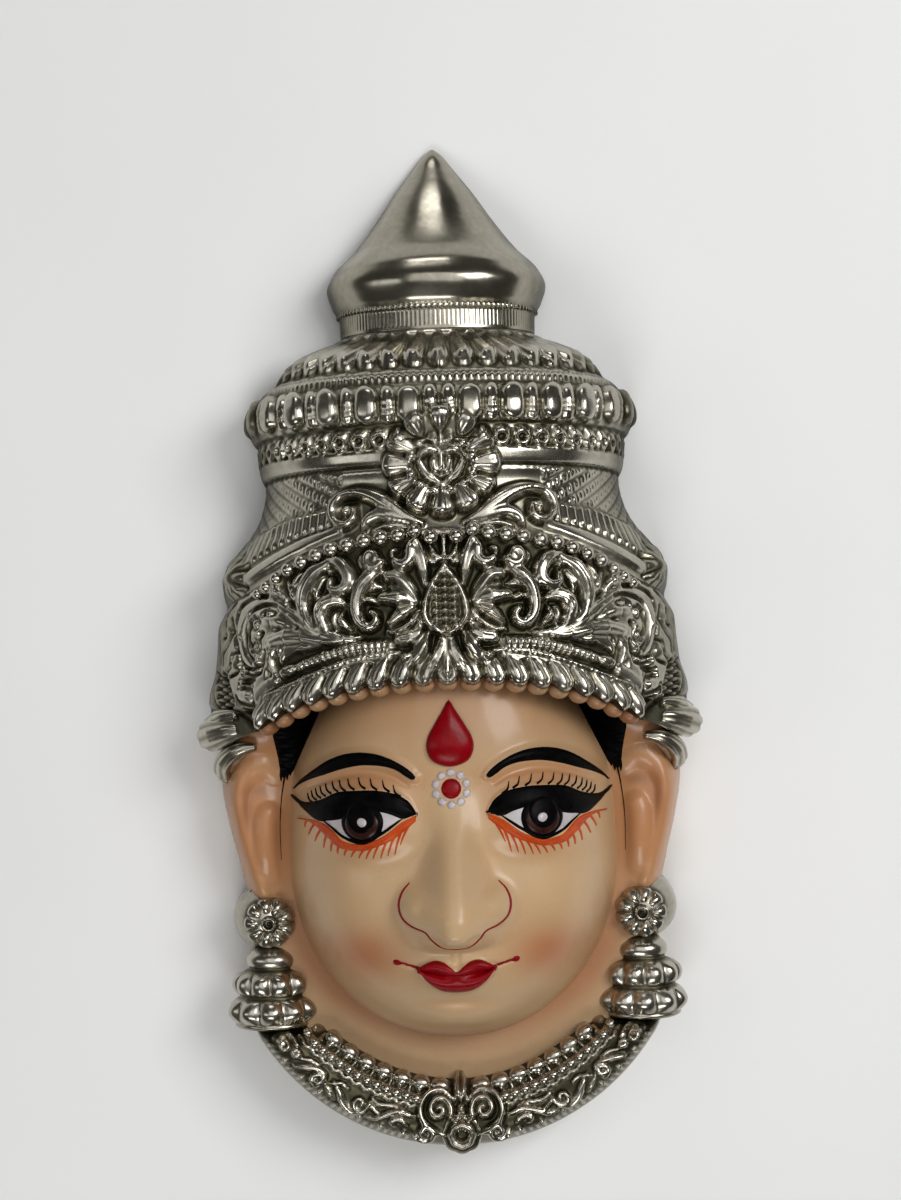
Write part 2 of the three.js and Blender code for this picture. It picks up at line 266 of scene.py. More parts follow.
def veined(side, run, width):
    vein = wave(run / 1.5 - 1.1 * np.abs(side)) ** 0.7
    return (1 - side**2) ** 0.55 * (0.68 + 0.32 * vein)


def two_lined(side, run, width):
    return (1 - side**4) ** 0.6 * (0.6 + 0.4 * wave(side + 0.5) ** 0.6)


def ribbed(count):
    def shape(side, run, width):
        rib = wave(count * (side + 1) / 2) ** 0.4
        return (1 - np.abs(side) ** 3.4) ** 0.6 * (0.72 + 0.28 * rib)

    return shape


def roped(pitch):
    def shape(side, run, width):
        return (1 - side**2) ** 0.6 * (0.6 + 0.4 * wave(run / pitch + 0.5 * side) ** 0.7)

    return shape


def barred(pitch):
    def shape(side, run, width):
        return (1 - side**4) ** 0.5 * (0.35 + 0.65 * wave(run / pitch) ** 0.6)

    return shape


def beaded(pitch):
    def shape(side, run, width):
        place = (run / pitch) % 1 - 0.5
        return np.sqrt((1 - side**2 - (2 * place) ** 2).clip(0))

    return shape


def spread(value, share):
    value = np.atleast_1d(np.array(value, dtype=float))
    if len(value) == 1:
        return np.full(np.shape(share), value[0])
    return np.interp(share, np.linspace(0, 1, len(value)), value)


class Relief:
    """Ornament on the right half of a sheet, which the left half mirrors. Its grid is a, the
    length over the surface from the middle, and b, the place along the other way. Convert
    turns points (x, y) into (a, b)."""

    def __init__(self, a, b, convert, ground, wider=1.0):
        self.a, self.b, self.convert, self.wider = a, b, convert, wider
        self.height = np.full(a.shape, float(ground))

    def _near(self, low, high, margin):
        return np.nonzero(
            (self.a > low[0] - margin) & (self.a < high[0] + margin)
            & (self.b > low[1] - margin) & (self.b < high[1] + margin)
        )

    def _put(self, where, inside, height, cut=False):
        """Raises the grid to a height at the points near a shape that are inside it."""
        where = tuple(index[inside] for index in where)
        if cut:
            self.height[where] -= height
        else:
            self.height[where] = np.maximum(self.height[where], height)

    def spot(self, x, y):
        a, b = self.convert(np.array([x]), np.array([y]))
        return float(a[0]), float(b[0])

    def sweep(self, path, width, height, shape=rounded, foot=-0.6, cut=False):
        """Raises or cuts a band along a path of (a, b) rows. Width is its half width."""
        path = np.asarray(path, float)
        share = np.linspace(0, 1, len(path))
        widths = spread(width, share) * self.wider
        where = self._near(path.min(axis=0), path.max(axis=0), widths.max())
        points = np.stack([self.a[where], self.b[where]], axis=1)
        step = np.diff(path, axis=0)
        best = np.full(len(points), np.inf)
        nearest, side = np.zeros((2, len(points)))
        for k, (s, d) in enumerate(zip(path, step)):
            away = points - s
            f = np.clip(away @ d / (d @ d), 0, 1)
            off = away - f[:, None] * d
            distance = np.hypot(off[:, 0], off[:, 1])
            closer = distance < best
            best = np.where(closer, distance, best)
            nearest = np.where(closer, (k + f) / len(step), nearest)
            side = np.where(closer, np.sign(d[0] * off[:, 1] - d[1] * off[:, 0]), side)
        local = np.interp(nearest, share, widths)
        inside = best < local
        best, local, side, nearest = (v[inside] for v in (best, local, side, nearest))
        run = nearest * np.linalg.norm(step, axis=1).sum()
        top = spread(height, nearest)
        level = shape(best / local * side, run, local)
        self._put(where, inside, top * level if cut else foot + (top - foot) * level, cut)

    def stroke(self, points, width, height, shape=rounded, **more):
        """A sweep along a smooth line through points (x, y)."""
        path = smooth_path(np.stack(self.convert(*np.array(points, float).T), axis=1))
        self.sweep(path, width, height, shape, **more)

    def spiral(self, x, y, outer, turns, start, width, height, inner=0.5, cut=False):
        """A scroll's eye: it winds in from radius outer to inner."""
        angle = np.radians(start) + np.linspace(0, 2 * PI * turns, int(14 * turns) + 6)
        radius = np.linspace(outer, inner, len(angle))
        self.sweep(around(self.spot(x, y), radius, angle), width, height, cut=cut)

    def dome(self, x, y, across, along, height, foot=-0.6, power=0.5):
        """A boss, oval if its two half sizes differ."""
        a, b = self.spot(x, y)
        where = self._near((a, b), (a, b), max(across, along))
        q = ((self.a[where] - a) / across) ** 2 + ((self.b[where] - b) / along) ** 2
        inside = q < 1
        self._put(where, inside, foot + (height - foot) * (1 - q[inside]) ** power)

    def petal(self, a, b, turn, length, half, height, foot, ribs=3):
        """A fan that opens from its root (a, b) along the way turn, with ribs from the root."""
        where = self._near((a, b), (a, b), length + half)
        da, db = self.a[where] - a, self.b[where] - b
        along = (da * math.sin(turn) + db * math.cos(turn)) / length
        across = da * math.cos(turn) - db * math.sin(turn)
        share = along.clip(0.001, 0.999)
        side = across / (half * 1.18 * share**0.55 * (1 - share**5) ** 0.5)
        inside = (np.abs(side) < 1) & (along > 0) & (along < 1)
        side, share = side[inside], share[inside]
        fold = np.abs(np.cos(ribs * PI / 2 * side * (1 - share**5) ** 0.5)) ** 0.5
        level = (1 - np.abs(side) ** 3) ** 0.6 * (1 - share**8) ** 0.5 * (0.72 + 0.28 * fold)
        level *= 0.6 + 0.4 * share**0.5
        self._put(where, inside, foot + (height - foot) * level)


def around(centre, radius, turn):
    """Points (x, y) round a centre."""
    return np.stack([centre[0] + radius * np.cos(turn), centre[1] + radius * np.sin(turn)], axis=-1)


# Meshes


def vertices_of(grid):
    return np.asarray(grid, float).reshape(-1, 3)


def mesh_object(name, points, faces, material, recess=None, tint=None):
    """A piece. Recess or tint is given for its first points, or for all."""
    mesh = bpy.data.meshes.new(name)
    mesh.from_pydata((np.asarray(points) * MM).tolist(), [], faces)
    mesh.validate()
    mesh.shade_smooth()
    if recess is not None:
        depths = np.zeros(len(points), dtype=np.float32)
        depths[: len(recess)] = recess
        layer = mesh.attributes.new("recess", "FLOAT", "POINT")
        layer.data.foreach_set("value", depths)
    if tint is not None:
        rgba = np.ones((len(points), 4), dtype=np.float32)
        rgba[:, :3] = CREAM * 0.8
        rgba[: len(tint), :3] = tint
        layer = mesh.attributes.new("tint", "FLOAT_COLOR", "POINT")
        layer.data.foreach_set("color", rgba.ravel())
    thing = bpy.data.objects.new(name, mesh)
    bpy.context.scene.collection.objects.link(thing)
    mesh.materials.append(material[0])
    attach(thing, BODY)
    return thing


def grid_faces(index):
    corners = [index[:-1, :-1], index[:-1, 1:], index[1:, 1:], index[1:, :-1]]
    return np.stack(corners, axis=-1).reshape(-1, 4).tolist()


def border_faces(fine, coarse, flip):
    """Joins a row of front vertices to the sparser row behind it."""
    faces = []
    for i in range(len(coarse) - 1):
        for k in range(EVERY):
            faces.append([fine[EVERY * i + k], fine[EVERY * i + k + 1], coarse[i]])
        faces.append([fine[EVERY * (i + 1)], coarse[i + 1], coarse[i]])
    return [face[::-1] for face in faces] if flip else faces


def shell(front, back):
    """A closed shell from a fine front grid and its back, one vertex for each EVERY."""
    front[..., 2], back[..., 2] = front[..., 2].clip(0), back[..., 2].clip(0)
    rows, columns = front.shape[:2]
    fine = np.arange(rows * columns).reshape(rows, columns)
    coarse = rows * columns + np.arange(back[..., 0].size).reshape(back.shape[:2])
    faces = grid_faces(fine) + grid_faces(coarse[:, ::-1])
    for k, flip in ((0, True), (-1, False)):
        faces += border_faces(fine[k], coarse[k], flip)
        faces += border_faces(fine[:, k], coarse[:, k], not flip)
    points = np.vstack([vertices_of(front), vertices_of(back)])
    if volume_of(points, faces) < 0:
        faces = [face[::-1] for face in faces]
    return points, faces


def volume_of(points, faces):
    """Six times the volume inside a closed mesh; below zero if it is inside out."""
    fans = [(f[0], f[k], f[k + 1]) for f in faces for k in range(1, len(f) - 1)]
    a, b, c = points[np.array(fans).T]
    return np.einsum("ij,ij->", a, np.cross(b, c))


class Parts:
    """Several closed shapes gathered into one mesh."""

    def __init__(self):
        self.points, self.faces, self.count = [], [], 0

    def add(self, points, faces):
        points = np.asarray(points, float)
        if volume_of(points, faces) < 0:
            faces = [face[::-1] for face in faces]
        self.faces += [[k + self.count for k in face] for face in faces]
        self.points.append(points)
        self.count += len(points)

    def mirror(self):
        """Adds each shape's twin on the other side."""
        points = np.vstack(self.points)
        self.add(points * [-1, 1, 1], [face[::-1] for face in self.faces])

    def build(self, name, material, **more):
        return mesh_object(name, np.vstack(self.points), self.faces, material, **more)


def closed_tube(rings):
    """A closed solid from rings of points, each (count, 3), with a flat end at each end."""
    rings = np.asarray(rings)
    index = np.arange(rings[..., 0].size).reshape(rings.shape[:2])
    low, high = index.size, index.size + 1
    faces = grid_faces(np.hstack([index, index[:, :1]]))
    for this, after in zip(index.T, np.roll(index.T, -1, axis=0)):
        faces += [[low, after[0], this[0]], [high, this[-1], after[-1]]]
    return np.vstack([vertices_of(rings), rings[0].mean(axis=0), rings[-1].mean(axis=0)]), faces


def egg_shape(centre, long_way, out_way, across, along, out, count=18, rows=11, gap=0.1):
    """An oval lobe with its own three half sizes."""
    long_way = unit(np.array(long_way, float))
    out_way = unit(out_way - long_way * (out_way @ long_way))
    turn = ring_turns(count)[:, None]
    flat = across * np.cos(turn) * np.cross(long_way, out_way) + out * np.sin(turn) * out_way
    return closed_tube([
        centre + math.cos(tilt) * flat + along * math.sin(tilt) * long_way
        for tilt in np.linspace(gap - PI / 2, PI / 2 - gap, rows)
    ])


def bead(centre, radius, squash=1.0, axis=(0, 0, 1)):
    """A bead, flattened along its axis."""
    side = np.array([0, 1, 0.01])
    return egg_shape(centre, axis, side, radius, squash * radius, radius, 14, 9, 0.12)


# Materials


def new_material(name, slot, roughness, metallic=0.0, coat=0.0, coat_roughness=0.05):
    material = bpy.data.materials.new(name)
    material.use_nodes = True
    tree = material.node_tree
    shader = tree.nodes["Principled BSDF"]
    shader.inputs["Metallic"].default_value = metallic
    shader.inputs["Roughness"].default_value = roughness
    shader.inputs["Coat Weight"].default_value = coat
    shader.inputs["Coat Roughness"].default_value = coat_roughness
    return (material, slot), tree, shader


def feed(tree, socket, value):
    """Sets a socket to a number or a colour, or links it to another socket."""
    if isinstance(value, bpy.types.NodeSocket):
        tree.links.new(value, socket)
    else:
        socket.default_value = (*value, 1) if isinstance(value, tuple) else value


def noise(tree, scale, detail):
    where = tree.nodes.new("ShaderNodeTexCoord")
    made = tree.nodes.new("ShaderNodeTexNoise")
    made.inputs["Scale"].default_value = scale
    made.inputs["Detail"].default_value = detail
    tree.links.new(where.outputs["Object"], made.inputs["Vector"])
    return made.outputs["Fac"]


def ramp(tree, value, stops):
    made = tree.nodes.new("ShaderNodeValToRGB")
    points = made.color_ramp.elements
    while len(points) < len(stops):
        points.new(0.5)
    for point, (place, colour) in zip(points, stops):
        point.position = place
        point.color = (*colour, 1)
    tree.links.new(value, made.inputs["Fac"])
    return made.outputs["Color"]


def cloud(tree, scale, detail, between, values):
    """Noise as a number: its range between two levels, spread over two values."""
    made = tree.nodes.new("ShaderNodeMapRange")
    feed(tree, made.inputs["Value"], noise(tree, scale, detail))
    for socket, number in zip(made.inputs[1:5], (*between, *values)):
        socket.default_value = number
    return made.outputs["Result"]


def math_node(tree, operation, first, second):
    made = tree.nodes.new("ShaderNodeMath")
    made.operation = operation
    feed(tree, made.inputs[0], first)
    feed(tree, made.inputs[1], second)
    return made.outputs["Value"]


def multiplied(tree, first, second):
    """One colour times another."""
    made = tree.nodes.new("ShaderNodeMix")
    made.data_type = "RGBA"
    made.blend_type = "MULTIPLY"
    factor, a, b = made.inputs[0], made.inputs[6], made.inputs[7]
    factor.default_value = 1.0
    feed(tree, a, first)
    feed(tree, b, second)
    return made.outputs[2]


def bump(tree, shader, height, distance, strength=0.35):
    made = tree.nodes.new("ShaderNodeBump")
    made.inputs["Distance"].default_value = distance * MM
    made.inputs["Strength"].default_value = strength
    tree.links.new(height, made.inputs["Height"])
    tree.links.new(made.outputs["Normal"], shader.inputs["Normal"])


def attribute(tree, name, output):
    made = tree.nodes.new("ShaderNodeAttribute")
    made.attribute_name = name
    return made.outputs[output]


def silver_material(name="silver_plate", roughness=0.2, ripple=0.08):
    """Bright plating over moulded relief, darkened and greenish where it can't be wiped, and darkened by
    painted shade towards the crown's sides.
    """
    material, tree, shader = new_material(name, "silver_plate", roughness, metallic=1.0)
    recess = attribute(tree, "recess", "Fac")
    # Patina in the hollows and painted shade on the crown's sides darken the plating.
    patina_and_shade = math_node(tree, "MULTIPLY", recess, cloud(tree, 160, 4, (0.3, 0.7), (0.7, 1.15)))
    colour = ramp(tree, patina_and_shade, [
        (0.0, (0.48, 0.45, 0.385)), (0.3, (0.28, 0.26, 0.2)),
        (0.62, (0.09, 0.082, 0.052)), (1.0, (0.034, 0.033, 0.019)),
    ])
    fleck = cloud(tree, 700, 2, (0.35, 0.7), (0.9, 1.06))
    feed(tree, shader.inputs["Base Color"], multiplied(tree, colour, fleck))
    wear = cloud(tree, 90, 5, (0.3, 0.75), (roughness * 0.75, roughness * 1.6))
    dull = math_node(tree, "MULTIPLY", recess, 0.3)
    feed(tree, shader.inputs["Roughness"], math_node(tree, "ADD", wear, dull))
    bump(tree, shader, noise(tree, 420, detail=3), ripple)
    return material


def skin_material():
    """Sprayed cream enamel, toned with an airbrush and with painted shade, under a gloss."""
    material, tree, shader = new_material(
        "skin_enamel", "skin_enamel", 0.38, coat=0.22, coat_roughness=0.12
    )
    uneven = cloud(tree, 45, 4, (0.3, 0.7), (0.95, 1.04))
    speck = cloud(tree, 1500, 2, (0.25, 0.75), (0.97, 1.02))
    colour = multiplied(tree, attribute(tree, "tint", "Color"), uneven)
    feed(tree, shader.inputs["Base Color"], multiplied(tree, colour, speck))
    feed(tree, shader.inputs["Roughness"], cloud(tree, 120, 5, (0.3, 0.7), (0.32, 0.44)))
    bump(tree, shader, noise(tree, 600, detail=3), 0.05, strength=0.3)
    shader.inputs["Specular IOR Level"].default_value = 0.38
    shader.inputs["Subsurface Weight"].default_value = 0.04
    shader.inputs["Subsurface Radius"].default_value = (0.004, 0.002, 0.001)
    return material


def paint_material(name, dark, light, roughness=0.3, coat=0.25, shine=0.5, slot=None):
    """Brushed gloss paint, a little uneven."""
    material, tree, shader = new_material(name, slot or name, roughness, coat=coat, coat_roughness=0.08)
    shader.inputs["Specular IOR Level"].default_value = shine
    colour = ramp(tree, noise(tree, 380, detail=4), [(0.3, dark), (0.72, light)])
    feed(tree, shader.inputs["Base Color"], colour)
    wear = cloud(tree, 500, 3, (0.3, 0.7), (roughness * 0.8, roughness * 1.5))
    feed(tree, shader.inputs["Roughness"], wear)
    bump(tree, shader, noise(tree, 900, detail=2), 0.05)
    return material


SILVER = silver_material()
POLISHED = silver_material("polished_silver", roughness=0.13, ripple=0.06)
SKIN = skin_material()
RED = paint_material("red_paint", (0.2, 0.0006, 0.003), (0.27, 0.001, 0.006), 0.26, 0.02, 0.14)
BLACK = paint_material("black_paint", (0.001, 0.001, 0.001), (0.004, 0.0035, 0.0035), 0.3, 0, 0.035)
ORANGE = paint_material("orange_paint", (0.44, 0.045, 0.005), (0.58, 0.085, 0.012), 0.3, 0.02, 0.15)
BROWN_PAINT = paint_material("brown_paint", (0.02, 0.004, 0.002), (0.04, 0.008, 0.004), 0.3, 0.1, 0.2,
                             slot="orange_paint")
WHITE = paint_material("white_paint", (0.46, 0.41, 0.42), (0.58, 0.53, 0.54))
# The airbrush's colours, also used for painted shade.
CREAM = np.array([0.56, 0.375, 0.205])
PEACH = np.array([0.46, 0.20, 0.082])
BLUSH = np.array([0.44, 0.165, 0.07])
BROWN = np.array([0.22, 0.082, 0.032])


# The crown


def half_shares(fine, coarse, split):
    """Shares from the middle to the edge, closer together up to split."""
    near = np.linspace(0, split, fine, endpoint=False)
    return np.concatenate([near, np.linspace(split, 1, coarse + 1)])


def height_at(sections, rows, shares):
    """The height of a level curve [x, y] over a surface, at each share."""
    curve = smooth_rows(rows)
    y = np.zeros_like(shares)
    for _ in range(12):  # it settles within a few rounds
        y = curve(np.abs(sections.place(shares, y)[..., 0]))
    return y


def both_sides(half):
    return np.concatenate([half[:, :0:-1], half], axis=1)


def mirrored_grid(half):
    """The whole sheet from its right half's points."""
    left = half[:, :0:-1] * [-1, 1, 1]
    return np.concatenate([left, half], axis=1)


STRING_ROWS = [[x, 28.4 - 0.0055 * x * x] for x in (0, 10, 20, 30, 40, 50, 60)]
GADROON = 5.55  # the length of hem that one gadroon takes
GADROONS = 10
LIP = 8.5  # how deep the crown's front edge turns in, under the gadroons
# The lines cut into the smooth side of the crown's front, and its hollowed strokes.
ENGRAVED = [
    [(39.6, 12.6), (43, 12.9), (46, 11.4), (47.9, 8.6), (48.3, 5), (47.6, 1.6), (46, -0.6)],
    [(42, 15), (46.4, 14.6), (49.4, 12), (50.6, 8), (50.4, 4), (49.6, 0.4), (48, -2.6)],
    [(50.2, 2), (49.4, -0.6), (50.2, -3.2), (52.6, -4.4)],
    [(50.2, 2), (51.6, 1), (52, -1.4), (53.6, -3.6)],
    [(52, 9.6), (51.4, 6.6), (52.8, 3.6), (54.4, 1.2), (54.6, -1.6)],
    [(54, 9), (53.2, 6), (54.6, 4.2)],
    [(55.8, 6), (55.6, 2), (55.4, -1.4)],
    [(49.6, -7), (47.4, -7.2), (46.2, -9), (47.2, -11), (50, -10.6), (51, -9)],
    [(54.6, -3.4), (53, -6.6), (51.8, -10), (51.4, -13.4)],
    [(55.6, -3), (57.4, -6.6), (57, -11), (53.6, -14.6)],
    [(45.8, -16.6), (46.8, -13.6), (49.6, -12)],
    [(47.4, -16.4), (49.2, -14.4), (51, -13.4)],
    [(44.6, -1.6), (46.6, -2.6), (48.4, -2)],
    [(44.2, -3.2), (46.6, -4), (48.6, -3.4)],
    [(50.6, 14), (52.4, 12.2), (53.6, 10)],
    [(47.2, 15.8), (49, 15.2)],
]
HOLLOWS = [
    [(40, 10.2), (41.6, 10.8), (43.4, 10)],
    [(46.9, 8.4), (47.3, 5.4), (46.8, 3)],
    [(43.4, 1.8), (43.8, -0.4), (44.2, -2.6)],
    [(46, -5), (47.6, -5.4), (49.4, -5.6)],
    [(43.4, 6), (44.4, 5.6)],
]
crown_profile = smooth_rows(CROWN_ROWS)
crown = Sections(lambda y: crown_profile(y, 1), lambda y: crown_profile(y, 2), 2.15)


def crown_convert(x, y):
    return crown.run_to(x, y), np.asarray(y, float)


def recess_of(height, blur=14, deep=1.3, ground=None):
    """How far each vertex lies under the ornament around it, from 0 to 1."""
    under = (soften(height, blur) - height + 0.15) / deep
    if ground is not None:
        under = np.maximum(under, 0.85 * (ground + 1.1 - height) / 1.1)
    return np.clip(under, 0, 1)


def flank_painted_shade(shares):
    """The plating is darker and rougher towards the side; the darkening is painted shade."""
    near = np.clip((shares - 0.55) / 0.4, 0, 1)
    return 0.42 * near**2 * (3 - 2 * near)


def drawn_in(points, by):
    """The inner face of a wall, a thickness in from a half-round surface."""
    inner = points.copy()
    half = crown.half_width(points[..., 1])
    depth = crown.depth(points[..., 1])
    inner[..., 0] *= np.clip(1 - by / half, 0.05, 1)
    inner[..., 2] *= np.clip(1 - by / depth, 0.05, 1)
    return inner


def ornament_crown_front(relief, hem_a, hem_y):
    """The leaves, scrolls and gadroons of the crown's front, right half."""
    stroke, dome, spiral = relief.stroke, relief.dome, relief.spiral
    # The gadroons along the hem, each leaning outwards as it comes down.
    run = run_along(hem_a, hem_y)
    for k in range(GADROONS):
        a = np.interp(GADROON * k, run, hem_a)
        y = np.interp(GADROON * k, run, hem_y)
        slope = np.interp(GADROON * k + 1, run, hem_y) - np.interp(GADROON * k - 1, run, hem_y)
        lean = 1.3 - 0.9 * slope if k else 0
        path = smooth_path([[a - lean, y + 4.9], [a - 0.45 * lean, y + 3], [a, y + 1.1]])
        relief.sweep(path, [1.6, 2.15, 2.3], [1.4, 2.3, 2.6], shape=dished, foot=-1.5)
    # The middle fan and the two leaves beside it.
    stroke([(0, 3.4), (0, -3.8)], [0.5, 1.1], [1.4, 2.9])
    stroke([(0.9, 4.4), (1.8, 0.6), (3.4, -2.4), (5.2, -3.8)], [0.7, 1.3, 1.5, 0.9],
           [1.6, 2.6, 3, 2.2], ribbed(2))
    stroke([(4.4, 5), (5.4, 2.6), (7, -0.2), (8.4, -1.6)], [0.8, 1.6, 1.7, 1], [1.8, 3, 3.2, 2.4],
           dished)
    dome(9.4, -0.2, 1.7, 1.5, 3)
    stroke([(5.8, 7.6), (6.8, 5.2), (8.6, 4.2), (10.6, 4)], [0.7, 1.3, 1.6, 1.5],
           [1.6, 2.8, 3.2, 2.6], ribbed(2))
    # The pointed boss: a rim round a bed of seeds.
    stroke([(0, 20.4), (0, 9.9)], [0.6, 2.3, 3.6, 4.4, 4.7], 4.4, egg_rim)
    for y in np.arange(6.5, 19.4, 1.75):
        wide = 4.2 * math.sqrt(max(0.0, 1 - ((y - 10) / (10.4 if y > 10 else 5)) ** 2))
        for k in range(3):
            if 2.1 * k < wide - 0.5:
                dome(2.1 * k, y, 1.08, 0.84, 4.5 - 0.4 * k, foot=0.4)
    # The bud over the boss.
    stroke([(0, 23.6), (0, 29.4)], [0.6, 0.95], [1.6, 2.4])
    stroke([(0.7, 22.2), (2.2, 23), (3.3, 25.6)], [0.8, 0.8, 0.4], [1.6, 2, 1.2])
    stroke([(2, 21.3), (3.4, 22), (4.4, 24.2)], [0.5, 0.6, 0.3], 1.2)
    # The leaf that curls over beside the boss.
    stroke([(4.4, 16.5), (5, 20.5), (6, 24), (6.9, 25.4)], [0.7, 1.3, 1.5, 1.5], [1.4, 2.6, 3, 3],
           ribbed(2))
    stroke([(6.4, 26), (7.6, 24.2), (7.8, 22.4), (9.2, 20.9), (11.2, 21.6)],
           [1.1, 1.5, 1.3, 1.4, 1.2], [2.4, 3.4, 3, 3.2, 2.6])
    dome(6.5, 25.8, 1.5, 1.5, 3.6)
    dome(11.3, 21.8, 1.2, 1.1, 3)
    stroke([(10.6, 24.8), (12, 24), (12.2, 22.8)], [0.4, 0.8, 0.4], [1.2, 2, 1.2])
    spiral(16.4, 22.4, 2.2, 1.1, 200, 1.1, 2.8)
    stroke([(18.9, 20), (19.6, 22), (19, 24.2)], [0.3, 0.7, 0.3], [1, 1.8, 1])
    # The palmette between the boss and the scrolls.
    stroke([(6.2, 12.4), (8.4, 16), (10.6, 18.4), (13, 18.6)], [0.6, 1.4, 1.5, 1.2],
           [1.6, 2.8, 3.2, 2.6], dished)
    stroke([(6.6, 12), (10, 13.2), (14.6, 13.6)], [0.6, 1.8, 1.1], [1.6, 3.8, 2.6], ribbed(4))
    stroke([(6.8, 12.4), (9.4, 15), (12.6, 16.2)], [0.5, 1, 0.6], [1.4, 3, 1.8], creased)
    stroke([(6.8, 11.4), (10, 10), (13, 7.6)], [0.5, 1.6, 0.9], [1.4, 3, 2], dished)
    stroke([(6.1, 10.4), (8.4, 7.4), (11.6, 5.9), (13.8, 5.7)], [0.4, 0.7, 0.6, 0.4], 1.5)
    stroke([(5.4, 9.6), (6, 7.4), (6.4, 6.4)], [0.5, 0.9, 0.6], [1.4, 2.2, 1.6])
    # The three great scrolls.
    stroke([(29.4, 6), (32, 8.4), (33, 12), (32.7, 16), (30.6, 19.6), (27.4, 21.6)],
           [0.7, 1.3, 1.7, 1.8, 1.6, 1], [1.4, 2.4, 2.9, 3, 2.8, 2], ribbed(4))
    stroke([(27, 22.6), (24, 21.6), (22.2, 19.2), (22.3, 16.9), (24.2, 15.6), (26.3, 16.3),
            (26.2, 18)], [0.8, 1.5, 1.7, 1.6, 1.4, 1.1, 0.8], [1.8, 3, 3.4, 3.4, 3.2, 3, 2.6],
           ribbed(4))
    stroke([(14.8, 20), (17.2, 18.6), (19.4, 16), (20.4, 12.6), (20.2, 9.2), (18.4, 7),
            (16.4, 7.4), (15.9, 9.2), (17, 10.2)],
           [0.9, 1.6, 1.6, 1.5, 1.5, 1.4, 1.2, 1, 0.8],
           [1.8, 3, 3.2, 3.2, 3.1, 3, 2.9, 2.8, 2.6], ribbed(3))
    stroke([(15.6, 12.4), (17.4, 13.4), (19, 12.6)], [0.4, 0.9, 0.4], [1.2, 2.2, 1.2])
    stroke([(14.6, 16), (16.4, 16.4), (18, 15.4)], [0.5, 1, 0.5], [1.2, 2.2, 1.2], creased)
    stroke([(15.4, 20.6), (17.6, 20.6), (19.2, 19)], [0.5, 0.9, 0.4], [1, 1.8, 1])
    stroke([(23.4, 12.6), (25.6, 13.4), (28, 12.4), (29, 9.6), (28, 7)],
           [0.8, 1.6, 1.8, 1.7, 1], [1.6, 2.8, 3.1, 2.9, 2], ribbed(4))
    stroke([(22.4, 6.8), (23.8, 8.4), (24, 10.6)], [0.7, 1.2, 0.4], [1.8, 2.8, 1.2])
    stroke([(25.4, 6.6), (26, 8.6), (25.4, 10.4)], [0.4, 0.8, 0.4], 1.4)
    stroke([(28.4, 18.6), (30, 15.6), (30, 13)], [0.5, 1, 0.4], [1, 2, 1], creased)
    dome(26.6, 20, 0.9, 0.8, 2.2)
    # The long stems that sweep out to the side.
    stroke([(20.5, 4.6), (26, 5.1), (31, 6.8), (35.4, 10), (39, 12.8), (42, 14)],
           [0.3, 0.9, 1.2, 1.5, 1.5, 0.9], [0.8, 2, 2.4, 2.5, 2.2, 1.6], creased)
    stroke([(21.5, 4), (28, 4), (33, 5), (38, 5.2), (41.6, 4.2)],
           [0.3, 0.9, 1.3, 1.7, 1.4], [0.8, 1.9, 2.3, 2.3, 1.9], dished)
    stroke([(29, 3), (34, 2.5), (38.4, 2.6)], [0.4, 1, 0.6], [0.8, 1.7, 1])
    stroke([(35.6, 7.4), (39.4, 9.2), (42.2, 9.4)], [0.5, 1.6, 1.8], [1.2, 2.2, 2], dished)
    stroke([(34.6, 11.6), (35, 14.6), (37, 18)], [0.5, 1.5, 0.6], [1.2, 2.3, 1.2], veined)
    stroke([(37.4, 14), (39.6, 16.2), (42.6, 17.2)], [0.5, 1.2, 0.5], [1.2, 2, 1], veined)
    stroke([(33.6, 20), (35, 18), (34.8, 15.4)], [0.4, 0.9, 0.4], [0.9, 1.5, 0.9])
    # The side is smooth, with its frame, leaves and cone engraved.
    stroke([(39.4, 3.6), (41.4, 1.6), (41.9, -1), (40.9, -3.6)], [0.5, 1, 1, 0.6],
           [1, 1.8, 1.8, 1.2], creased)
    stroke([(35.4, 1.8), (37.8, 1.2), (39, -0.8)], [0.5, 1.1, 0.6], 1.3, ribbed(2))
    stroke([(38.2, 4), (39.6, 2), (39.4, 0)], [0.4, 0.8, 0.4], 1)
    levels = np.linspace(-20, 30, 26)
    edge = np.interp(levels, [-8, 2, 8], [41.6, 41.4, 38.6])
    start = np.interp(relief.b, levels, crown_convert(edge, levels)[0])
    over = (relief.b - hem_y - 4.4) / 1.2
    smooth = np.clip((relief.a - start) / 1.6, 0, 1) * np.clip(over, 0, 1)
    relief.height = np.maximum(relief.height, 1.5 * smooth - 0.6)
    for line in ENGRAVED:
        stroke(line, 0.4, 1.7, cut=True)
    for line in HOLLOWS:
        stroke(line, [0.5, 1, 0.5], 1.8, cut=True)
    for k in range(6):
        high = -4 - 1.8 * k
        left, right = 53.4 - 0.35 * k, 57 - 0.3 * k
        stroke([(left, high - 1.6), (right, high + 0.6)], 0.3, 1.6, cut=True)
        stroke([(left, high), (right, high - 2.2)], 0.3, 1.6, cut=True)
    spiral(45.4, 8.3, 1.5, 1, 0, 0.32, 1.3, inner=1.5, cut=True)
    spiral(45.4, 3, 2.1, 1.3, 120, 0.32, 1.3, inner=0.5, cut=True)
    dome(45.4, 8.3, 0.6, 0.6, 1.4)
    for x, y, wide, high in ((51, -1.4, 0.9, 1.7), (47.8, -9, 1.1, 1.1), (49.4, 5.4, 0.6, 1.2),
                             (52.6, 7, 0.6, 1.3), (54.4, 4.4, 0.6, 1.2), (41.6, 10.6, 1.1, 0.9)):
        dome(x, y, wide, high, 1.7, foot=0.4)
